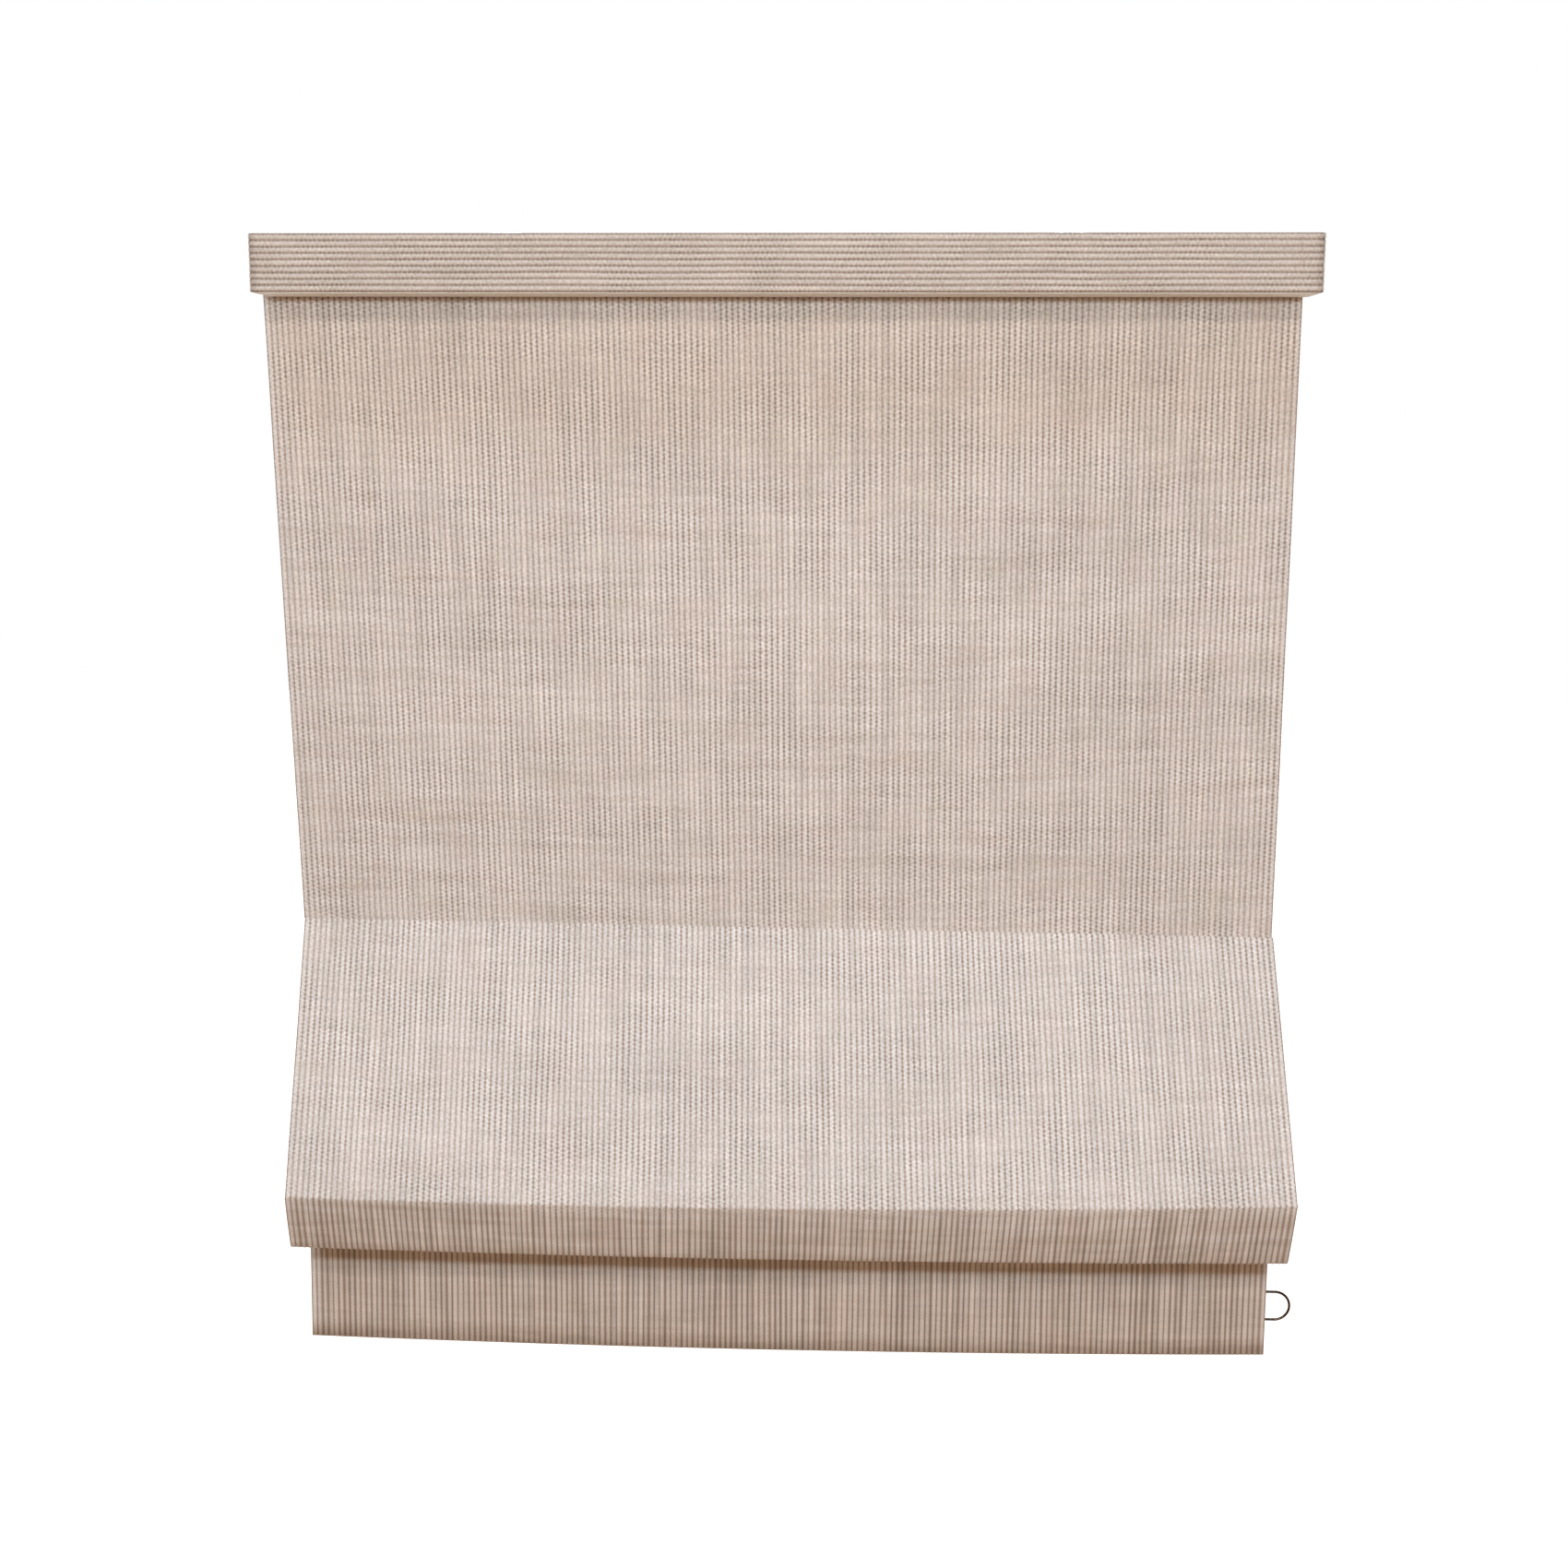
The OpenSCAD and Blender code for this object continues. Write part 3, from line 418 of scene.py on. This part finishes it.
clothCut = {
    "thick": 1.2, "ribHeight": 0.55,                                  # mm
    "foldOut": 104, "lipFall": 224, "faceFall": 64, "faceBack": 23, "tuckSeat": 14,
    "creaseRadius": 3, "lipRadius": 2, "footRadius": 5, "tuckRadius": 5,
    "rows": [9, 6, 7, 17, 40, 2], "arcRows": 3,                       # from the hem up, between corners
    "ribShape": [0.0, 0.9, 0.9],                                      # heights from gap to gap
    # How far the left, middle and right hang above their true height, in mm
    "creaseHang": (3, 0, -3), "lipHang": (-5, -7, 4), "footHang": (0, -3, 3), "hemHang": (-1.5, -6, 0),
    # The cloth hangs a little askew: mm its edges stray at the hem, tuck, foot, lip, crease, rail and top
    "leftStray": (0, 2, 5, 8, 6, -6, -6), "rightStray": (2, 3, 5, 8, -6, -6, -6),
    "wander": 0.9, "wanderPattern": (35, 140, 1.7),                   # mm, how far ribs stray sideways
    "ripple": 1.6, "longSlack": (170, 110, 3.1), "shortSlack": (60, 75, 7.7), "shortShare": 0.5,
    "pull": 1.6, "pullRunOut": 0.2, "faceBulge": 0.5,                 # strength, share of its length, mm
    "seamHold": 45, "edgeHold": 20,                                   # mm beside folds and edges, held still
}
# Pulls and slack in the panel: start x, z, end x, z, half width and height in mm
clothPulls = [
    (135, -299, 440, -140, 16, 1.6), (60, -250, 420, -95, 14, -1.1), (190, -395, 445, -250, 18, 1.2),
    (-445, -488, -215, -506, 9, 1.5), (-445, -530, -170, -520, 10, -1.3), (-440, -452, -250, -470, 12, 0.9),
    (-430, -180, -180, -300, 20, 0.9), (-380, -90, -60, -200, 22, -0.8), (-40, -420, 260, -470, 18, 0.9),
    (445, -560, 180, -520, 12, 1.2), (430, -600, 120, -585, 9, -0.9), (-300, -585, 40, -600, 9, 0.9),
    (-200, -690, -170, -820, 26, 1.4), (60, -660, 20, -825, 30, -1.4), (300, -650, 330, -820, 28, 1.5),
    (-380, -660, -330, -800, 22, -1.2), (180, -700, 150, -820, 22, 1.1),
]


def pullHeight(x, z):
    runOut = clothCut["pullRunOut"]
    height = 0.0
    for x0, z0, x1, z1, half, high in clothPulls:
        runX, runZ = x1 - x0, z1 - z0
        length = math.hypot(runX, runZ)
        t = ((x - x0) * runX + (z - z0) * runZ) / length ** 2
        if -runOut < t < 1 + runOut:
            off = ((x - x0) * runZ - (z - z0) * runX) / length
            fade = math.sin(math.pi * (t + runOut) / (1 + 2 * runOut)) ** 2
            height += high * fade * math.exp(-(off / half) ** 2)
    return height


clothLow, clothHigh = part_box("blind_cloth")
clothHalf = clothHigh.x / mm
creaseY = clothHigh.y / mm
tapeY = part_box("loop_tape")[0].y / mm
battenZ = sum(c.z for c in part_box("upper_batten")) / 2 / mm
lowerZ = sum(c.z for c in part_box("lower_batten")) / 2 / mm
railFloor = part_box("headrail")[0].z / mm


def clothPath(x):  # [y, z] points of the cloth's back in mm, from the hem up, at one place along the width
    c, t = clothCut, x / clothHalf
    crease = Vector((creaseY, battenZ + curveThrough(c["creaseHang"], t)))
    lip = Vector((creaseY - c["foldOut"], battenZ - c["lipFall"] + curveThrough(c["lipHang"], t)))
    foot = Vector((creaseY - c["foldOut"] + c["faceBack"],
                   battenZ - c["lipFall"] - c["faceFall"] + curveThrough(c["footHang"], t)))
    corners = [Vector((creaseY, clothLow.z / mm + curveThrough(c["hemHang"], t))),
               Vector((creaseY, lowerZ + c["tuckSeat"])), foot, lip, crease,
               Vector((tapeY, railFloor)), Vector((tapeY, clothHigh.z / mm))]
    radii = [0, c["tuckRadius"], c["footRadius"], c["lipRadius"], c["creaseRadius"], 0, 0]
    return roundedPath(corners, radii, c["rows"], c["arcRows"])


def makeCloth():
    c = clothCut
    perRib = len(c["ribShape"])
    columns = round(2 * clothHalf / ribLook["ribPitch"]) * perRib
    middlePath, cornerRows = clothPath(0)
    rows = len(middlePath) - 1
    middleRuns = pathRuns(middlePath)
    seams = [middleRuns[k] for k in cornerRows]
    footRun, lipRun = seams[2:4]
    leftStray, rightStray = [[stepped(cornerRows, c[edge], j) for j in range(rows + 1)]
                             for edge in ("leftStray", "rightStray")]
    paths = {}

    def place(i, j):
        x = (i / columns * 2 - 1) * clothHalf
        if i not in paths:
            points, _ = clothPath(x)
            paths[i] = points, pathNormals(points), pathRuns(points)
        at, out, run = [values[j] for values in paths[i]]
        free = min(1.0, min(abs(run - seam) for seam in seams) / c["seamHold"])
        inset = min(1.0, (clothHalf - abs(x)) / c["edgeHold"])
        slack = waver(x, run, c["longSlack"]) + c["shortShare"] * waver(x, run, c["shortSlack"])
        hang = free * (c["ripple"] * slack + c["pull"] * pullHeight(x, at.y))
        if footRun < run < lipRun:
            hang += c["faceBulge"] * math.sin(math.pi * (run - footRun) / (lipRun - footRun))
        stray = c["wander"] * waver(x, run, c["wanderPattern"]) * inset
        stray += leftStray[j] * (1 - i / columns) + rightStray[j] * i / columns
        at = at + out * (c["thick"] + c["ribHeight"] * c["ribShape"][i % perRib] + hang)
        return Vector((x + stray, at.x, at.y)) * mm, (i / perRib * ribLook["ribPitch"] * mm, run * mm)

    bm = wrapGrid(columns, rows, place)
    piece = makePiece("faceCloth", bm, rep, "blind", ["blind_cloth"])
    thicken(piece, c["thick"] * mm)
    print("face cloth:", columns, "columns,", rows, "rows, cut", round(middleRuns[-1]), "mm long, folded at",
          [round(seam) for seam in seams])


makeCloth()


# Pelmet cover, glued round the fascia with its ribs across and its edges turned inside

pelmetCut = {
    "thick": 1.2, "ribHeight": 0.8, "turnIn": 10, "wall": 2, "clear": 0.2,   # mm
    "ribs": [2, 1, 11, 9, 11, 1, 2],       # inside, edge, underside, front, top, edge, inside
    "ribShape": [0.0, 0.8, 1.0, 0.8],      # heights from gap to gap
    "columns": 110, "wander": 0.5, "wanderPattern": (90, 14, 5.5),           # mm the ribs stray
    "endLap": 0.4, "endThick": 1.0, "endSink": 0.2, "endRibHeight": 0.6, "endColumns": 12,
    "liningThick": 0.5, "liningInset": 1.5, "liningRows": 8,
}


def makePelmet():
    c, shape = pelmetCut, pelmetCut["ribShape"]
    low, high = boxOf("pelmet_cover")
    inLow, inHigh = boxOf("pelmet_fascia")
    front, floor, top = low.y + c["ribHeight"], low.z + c["ribHeight"], high.z - c["ribHeight"]
    inside = c["wall"] + c["clear"] + c["thick"]
    inFloor, inTop = inLow.z + inside, inHigh.z - inside
    tuckY = high.y - c["turnIn"]
    corners = [Vector(p) for p in (
        (tuckY, inFloor), (high.y, inFloor), (high.y, floor), (front, floor),
        (front, top), (high.y, top), (high.y, inTop), (tuckY, inTop))]
    perRib = len(shape)
    points, cornerRows = roundedPath(corners, [0] * len(corners), [n * perRib for n in c["ribs"]], 0)
    normals, runs = pathNormals(points), pathRuns(points)
    last = len(points) - 1
    edgeRows = {*range(cornerRows[1], cornerRows[2] + 1), *range(cornerRows[5], cornerRows[6] + 1)}
    stillRows = edgeRows.union(cornerRows)
    half = high.x - c["thick"]

    def place(i, j):
        x = (i / c["columns"] * 2 - 1) * half
        rise = 0 if j in edgeRows else c["ribHeight"] * shape[j % perRib]
        sway = 0 if j in stillRows else c["wander"] * waver(x, runs[j], c["wanderPattern"])
        ahead = (points[min(j + 1, last)] - points[max(j - 1, 0)]).normalized()
        at = points[j] + normals[j] * rise + ahead * sway
        return Vector((x, at.x, at.y)) * mm, (j / perRib * ribLook["ribPitch"] * mm, (x + half) * mm)

    piece = makePiece("pelmetCover", wrapGrid(c["columns"], last, place), pelmetShadedRep, "blind",
                      ["pelmet_cover"])
    thicken(piece, c["thick"] * mm)

    # Plain lining glued over the underside; its near-white tone is painted light, standing in for light bounced up
    # under the pelmet
    liningHalf, liningDepth = half - c["liningInset"], high.y - front - 2 * c["liningInset"]

    def liningPlace(i, j):
        x = (i / c["columns"] * 2 - 1) * liningHalf
        y = front + c["liningInset"] + liningDepth * (1 - j / c["liningRows"])
        return Vector((x, y, low.z - c["liningThick"])) * mm, (x * mm, y * mm)

    lining = makePiece("pelmetLiningBounceLit", wrapGrid(c["columns"], c["liningRows"], liningPlace), bounceLitLining, "blind",
                       ["pelmet_cover"])
    thicken(lining, c["liningThick"] * mm)

    rows = c["ribs"][3] * perRib
    for side, name in ((-1, "Left"), (1, "Right")):
        def endPlace(i, j):
            back = i / c["endColumns"] if side > 0 else 1 - i / c["endColumns"]
            y = front - c["endLap"] + (high.y - front + c["endLap"]) * back
            z = floor - c["endLap"] + (top - floor + 2 * c["endLap"]) * j / rows
            out = high.x - c["endSink"] + c["endRibHeight"] * shape[j % perRib]
            return Vector((side * out, y, z)) * mm, (j / perRib * ribLook["ribPitch"] * mm, y * mm)

        end = makePiece("pelmetEndCloth" + name, wrapGrid(c["endColumns"], rows, endPlace), pelmetShadedRep,
                        "blind", ["pelmet_cover"])
        thicken(end, c["endThick"] * mm)
    print("pelmet cover made, cut", round(runs[-1]), "mm wide")


makePelmet()


# Sewn tunnels for the battens and the hem bar

stitchCut = {"pitch": 3.2, "length": 2.3, "radius": 0.3, "proud": 0.1, "endInset": 3}    # mm
tunnelCut = {
    "thick": 0.8, "columns": 220, "arcRows": 22, "layerGap": 0.1,                        # mm
    "pucker": 0.25, "puckerMost": 0.05, "puckerPattern": (7, 9, 2.2),
    "tail": 9, "tailRows": 4, "tailSeam": 6, "innerShort": 0.6, "innerStep": 2,
}
hemCut = {"lap": 0.9, "lapTurn": 20, "lapFall": 1.5, "seamFall": 9,                      # mm, degrees
          "backStep": 6, "frontStep": 5, "arcRows": 8}


def stitchRow(name, rows, owner):  # short stitches along each row, given by its two ends in mm
    c = stitchCut
    bm = bmesh.new()
    weave = bm.loops.layers.uv.new("weave")
    for start, stop in rows:
        run = stop - start
        turn = run.to_track_quat("X", "Z").to_matrix().to_4x4()
        size = Matrix.Diagonal((c["length"] / 2 * mm, c["radius"] * mm, c["radius"] * mm, 1))
        count = max(1, int(run.length / c["pitch"]))
        for n in range(count):
            at = start + run * (n + 0.5) / count
            bmesh.ops.create_uvsphere(bm, u_segments=6, v_segments=4, radius=1, calc_uvs=True,
                                      matrix=Matrix.Translation(at * mm) @ turn @ size)
    for face in bm.faces:
        for loop in face.loops:
            loop[weave].uv = loop[weave].uv * c["length"] * mm
    piece = makePiece(name, bm, thread, "blind", [])
    piece.parent = owner


def sewnTunnel(name, node, points, seam):  # sleeve of thin cloth along X, with stitches along its seam
    c = tunnelCut
    low, high = boxOf(node)
    normals, runs = pathNormals(points), pathRuns(points)

    def place(i, j):
        x = low.x + (high.x - low.x) * i / c["columns"]
        pucker = c["pucker"] * waver(x, runs[j], c["puckerPattern"])
        at = points[j] + normals[j] * min(pucker, c["puckerMost"])
        return Vector((x, at.x, at.y)) * mm, (x * mm, runs[j] * mm)

    piece = makePiece(name, wrapGrid(c["columns"], len(points) - 1, place), cotton, "blind",
                      [node])
    thicken(piece, c["thick"] * mm)
    ends = [Vector((x, *seam)) for x in (low.x + stitchCut["endInset"], high.x - stitchCut["endInset"])]
    stitchRow(name + "Stitches", [ends], piece)
    print(name, "made, cut", round(runs[-1], 1), "mm wide")


def battenTunnel(name, node, z0, way):  # way is where the sewn tail points, up or down the cloth
    c = tunnelCut
    low, high = boxOf(node)
    radius = (high.y - low.y) / 2
    middle = Vector((low.y + radius, 0))
    backLayer = low.y + 2 * c["thick"] + c["layerGap"]
    start = math.degrees(math.acos((backLayer - middle.x) / radius))
    points = [Vector((backLayer, c["tail"] - c["innerShort"] - c["innerStep"] * n)) for n in range(3)]
    points += arc(middle, radius, start, -180, c["arcRows"])
    points += [Vector((low.y, n * c["tail"] / c["tailRows"])) for n in range(1, c["tailRows"] + 1)]
    points = [Vector((p.x, z0 + way * p.y)) for p in points]
    if way < 0:
        points.reverse()
    sewnTunnel(name, node, points, (backLayer + stitchCut["proud"], z0 + way * c["tailSeam"]))


def hemTunnel():
    c = hemCut
    low, high = boxOf("hem_pocket")
    radius = (high.y - low.y) / 2
    mid = low.y + radius
    seam = high.z - c["seamFall"]
    points = [Vector((high.y, seam - c["backStep"] * n)) for n in range(3)]
    points += arc(Vector((mid, low.z + radius)), radius, 0, -180, c["arcRows"])
    points += [Vector((low.y, low.z + radius + c["frontStep"] * n)) for n in range(1, 4)]
    points += arc(Vector((mid, high.z - radius)), radius, 180, c["lapTurn"], c["arcRows"])
    lapHeights = (high.z - radius - c["lapFall"], seam + 2, seam - 3)   # the lap covers the seam
    points += [Vector((high.y + c["lap"], z)) for z in lapHeights]
    sewnTunnel("hemTunnel", "hem_pocket", points, (high.y + c["lap"] + stitchCut["proud"], seam - 1))


battenTunnel("upperTunnel", "upper_pocket", battenZ, 1)
battenTunnel("lowerTunnel", "lower_pocket", lowerZ, -1)
hemTunnel()


# Hook and loop tapes between the headrail and the cloth

tapeCut = {"thick": 1.0, "columns": 220, "rows": 8, "sink": 0.1, "nap": 0.08, "napSize": 3}   # mm


def makeTape(name, node):
    c = tapeCut
    low, high = boxOf(node)

    def place(i, j):
        x, z = low.x + (high.x - low.x) * i / c["columns"], low.z + (high.z - low.z) * j / c["rows"]
        nap = c["nap"] * waver(x, z, (c["napSize"], c["napSize"], low.y))
        return Vector((x, low.y + c["sink"] + nap, z)) * mm, (x * mm, z * mm)

    piece = makePiece(name, wrapGrid(c["columns"], c["rows"], place), pile, "blind", [node])
    thicken(piece, c["thick"] * mm)
    print(name, "made")


makeTape("hookTape", "hook_tape")
makeTape("loopTape", "loop_tape")


# Webbing tab round the bar of the hold-down ring

tabCut = {
    "thick": 1.1, "layerGap": 0.2, "cords": 9, "perCord": 4, "cordHeight": 0.14,             # mm
    # The path round the bar: a sewn lap, a neck, the loop in degrees and the long back
    "sewn": 30, "lapEnd": 6, "lapRows": 10, "neck": (-3.4, 0.7),
    "loopTurn": (140, -90), "loopRows": 20, "backRows": 12,
    "stitchBox": [(-27, -6), (-9, -6), (-9, 6), (-27, 6)],                                   # mm from the bar
}


def makeTab():
    c = tabCut
    low, high = boxOf("ring_tab")
    bar = Vector(frame["joints"][1]["pos_m"]) / mm
    loop = high.y - bar.y
    lap = low.y + 2 * c["thick"] + c["layerGap"] - bar.y
    lapStart, lapStop = Vector((-c["sewn"], lap)), Vector((-c["lapEnd"], lap))
    points = [lapStart.lerp(lapStop, n / c["lapRows"]) for n in range(c["lapRows"] + 1)]
    points.append(Vector(c["neck"]))
    points += arc(Vector((0, 0)), loop, *c["loopTurn"], c["loopRows"])
    points += [Vector((-c["sewn"] * n / c["backRows"], -loop)) for n in range(1, c["backRows"] + 1)]
    normals, runs = pathNormals(points), pathRuns(points)
    columns = c["cords"] * c["perCord"]

    def place(i, j):
        ridge = c["cordHeight"] * math.sin(math.pi * i / c["perCord"]) ** 2
        at = points[j] + normals[j] * (ridge - c["cordHeight"])
        z = low.z + (high.z - low.z) * i / columns
        return Vector((bar.x + at.x, bar.y + at.y, z)) * mm, (z * mm, runs[j] * mm)

    piece = makePiece("ringTab", wrapGrid(columns, len(points) - 1, place), web, "blind",
                      ["ring_tab"])
    thicken(piece, c["thick"] * mm)
    y = bar.y + lap + stitchCut["proud"]
    box = [Vector((bar.x + x, y, bar.z + z)) for x, z in c["stitchBox"]]
    sides = list(zip(box, box[1:] + box[:1])) + [(box[0], box[2]), (box[1], box[3])]   # a box with a cross
    stitchRow("ringTabStitches", sides, piece)
    print("webbing tab made, cut", round(runs[-1], 1), "mm long")


makeTab()


# Lift cords, their turns on the spools, their knots, and the lift spring

cordCut = {
    "radius": 0.7, "sides": 12, "step": 0.75,                               # mm
    "braid": 4.2, "braidHeight": 0.09, "strands": 3,                        # mm a turn, share of the radius
    "turns": 3, "perTurn": 48, "crossOver": 2.7,                            # mm from the hole to the turns
}
knotCut = {"radius": 1.3, "pitch": 0.9, "lift": 0.7, "wire": 0.6, "turns": 4, "perTurn": 20, "sides": 8}   # mm
springCut = {"wire": 1.36, "pitch": 1.3, "perTurn": 24, "sides": 8}         # mm
shaft = Vector(frame["joints"][0]["pos_m"]) / mm
alongX, alongZ = Vector((1, 0, 0)), Vector((0, 0, 1))


def braided(angle, run):  # two sets of strands crossing each other
    turn = 2 * math.pi * run / (cordCut["braid"] * mm)
    around = cordCut["strands"] * angle
    return 1 - cordCut["braidHeight"] * (1 - max(math.cos(around + turn), math.cos(around - turn)))


def makeCords(side):
    c = cordCut
    low, high = boxOf("lift_cord_" + side)
    x, y = (low.x + high.x) / 2, (low.y + high.y) / 2
    steps = round((high.z - low.z) / c["step"])
    line = [Vector((x, y, high.z - (high.z - low.z) * n / steps)) * mm for n in range(steps + 1)]
    bm = tube(line, c["sides"], c["radius"] * mm, alongX, braided)
    makePiece("liftCord" + side.title(), bm, braid, "blind", ["lift_cord_" + side])

    # The cord comes up to the spool, crosses to its turns in half a turn and winds round
    wrap = y - shaft.y
    wound = []
    for n in range(c["turns"] * c["perTurn"] + 1):
        t = n / c["perTurn"]
        a = 2 * math.pi * t
        crossed = min(1.0, 2 * t)
        cross = crossed ** 2 * (3 - 2 * crossed)
        across = x - c["crossOver"] * cross - 2 * c["radius"] * max(0.0, t - 0.5)
        wound.append(Vector((across, shaft.y + wrap * math.cos(a), shaft.z + wrap * math.sin(a))) * mm)
    bm = tube(wound, c["sides"], c["radius"] * mm, alongX, braided)
    makePiece("woundCord" + side.title(), bm, braid, "lift_drive", ["wound_cord_" + side])

    # Barrel knot under the bead
    k = knotCut
    knot = []
    for n in range(k["turns"] * k["perTurn"] + 1):
        a = 2 * math.pi * n / k["perTurn"]
        z = low.z + k["lift"] + k["pitch"] * n / k["perTurn"]
        knot.append(Vector((x + k["radius"] * math.cos(a), y + k["radius"] * math.sin(a), z)) * mm)
    bm = tube(knot, k["sides"], k["wire"] * mm, alongZ)
    makePiece("cordKnot" + side.title(), bm, braid, "blind", [])


def makeSpring():
    c = springCut
    low, high = boxOf("lift_spring")
    radius = (high.z - low.z) / 2 - c["wire"] / 2
    length = high.x - low.x - c["wire"]
    steps = round(length / c["pitch"] * c["perTurn"])
    coil = []
    for n in range(steps + 1):
        a = 2 * math.pi * n / c["perTurn"]
        coil.append(Vector((low.x + c["wire"] / 2 + length * n / steps,
                            shaft.y + radius * math.cos(a), shaft.z + radius * math.sin(a))) * mm)
    bm = tube(coil, c["sides"], c["pitch"] / 2 * mm, alongX)
    makePiece("liftSpring", bm, slotMaterials["spring_steel"], "blind", ["lift_spring"])


for side in ("left", "middle", "right"):
    makeCords(side)
makeSpring()
print("cords and spring made")


# Camera at the photograph's angle

cameraPlace = {"at": (0.0899, -1.9816, -0.1571), "left": 2.63, "down": 9.37, "roll": 0.18,   # metres, degrees
               "focal": 2370, "frame": 1700, "sensor": 36}                                   # pixels, mm
cameraData = bpy.data.cameras.new("camera")
cameraData.sensor_width = cameraPlace["sensor"]
cameraData.lens = cameraPlace["focal"] / cameraPlace["frame"] * cameraPlace["sensor"]
camera = bpy.data.objects.new("camera", cameraData)
bpy.context.scene.collection.objects.link(camera)
camera.matrix_world = (Matrix.Translation(cameraPlace["at"])
                       @ Matrix.Rotation(math.radians(cameraPlace["left"]), 4, "Z")
                       @ Matrix.Rotation(math.radians(90 - cameraPlace["down"]), 4, "X")
                       @ Matrix.Rotation(math.radians(cameraPlace["roll"]), 4, "Z"))
bpy.context.scene.camera = camera


# Studio: pale floor, soft light from above and in front, white behind

studio = {"floorDrop": 2.2, "floorSize": 14, "floorBack": 7.5,       # metres, the floor lies behind the blind
          "roomLight": "#a2866d", "backdrop": "#ffffff"}
skylight = {"rise": 65, "soft": 20, "strength": 1.18, "colour": "#c6e5ff"}   # steep cool light, degrees
banks = {  # soft boxes: place and aim in metres, width and height in metres, watts, colour
    "overBank": ((0, -2.8, 0.9), (0, 0, -0.45), (1.8, 0.3), 19.5, "#fff0e6"),
    "frontBank": ((0, -1.95, 0.08), (0, 0, -0.45), (1.4, 0.12), 17.9, "#e6f6ff"),
}

bm = bmesh.new()
bmesh.ops.create_grid(bm, x_segments=4, y_segments=4, size=studio["floorSize"] / 2)
bmesh.ops.translate(bm, verts=bm.verts, vec=(0, studio["floorBack"], -studio["floorDrop"]))
floorMesh = bpy.data.meshes.new("floor")
bm.to_mesh(floorMesh)
bm.free()
floorMesh.materials.append(plastic("lit acrylic floor"))
floor = bpy.data.objects.new("floor", floorMesh)
bpy.context.scene.collection.objects.link(floor)


def makeLamp(name, kind, strength, colour, place):
    data = bpy.data.lights.new(name, kind)
    data.energy = strength
    data.color = tone(colour)[:3]
    lamp = bpy.data.objects.new(name, data)
    lamp.matrix_world = place
    lamp.visible_camera = False
    bpy.context.scene.collection.objects.link(lamp)
    return data


sky = makeLamp("skylight", "SUN", skylight["strength"], skylight["colour"],
               Matrix.Rotation(math.radians(90 - skylight["rise"]), 4, "X"))
sky.angle = math.radians(skylight["soft"])
for name, (at, aim, size, watts, colour) in banks.items():
    facing = (Vector(aim) - Vector(at)).to_track_quat("-Z", "Y").to_matrix().to_4x4()
    bank = makeLamp(name, "AREA", watts, colour, Matrix.Translation(at) @ facing)
    bank.shape = "RECTANGLE"
    bank.size, bank.size_y = size

world = bpy.data.worlds.new("white studio")
world.use_nodes = True
bpy.context.scene.world = world
worldTree = world.node_tree
worldTree.nodes.clear()
seen = addNode(worldTree, "LightPath")["Is Camera Ray"]
glow = addNode(worldTree, "MixRGB", [seen, tone(studio["roomLight"]), tone(studio["backdrop"])])[0]
room = addNode(worldTree, "Background", {"Color": glow})
addNode(worldTree, "OutputWorld", {"Surface": room[0]})
bpy.context.scene.view_settings.view_transform = "Standard"
print("studio set")
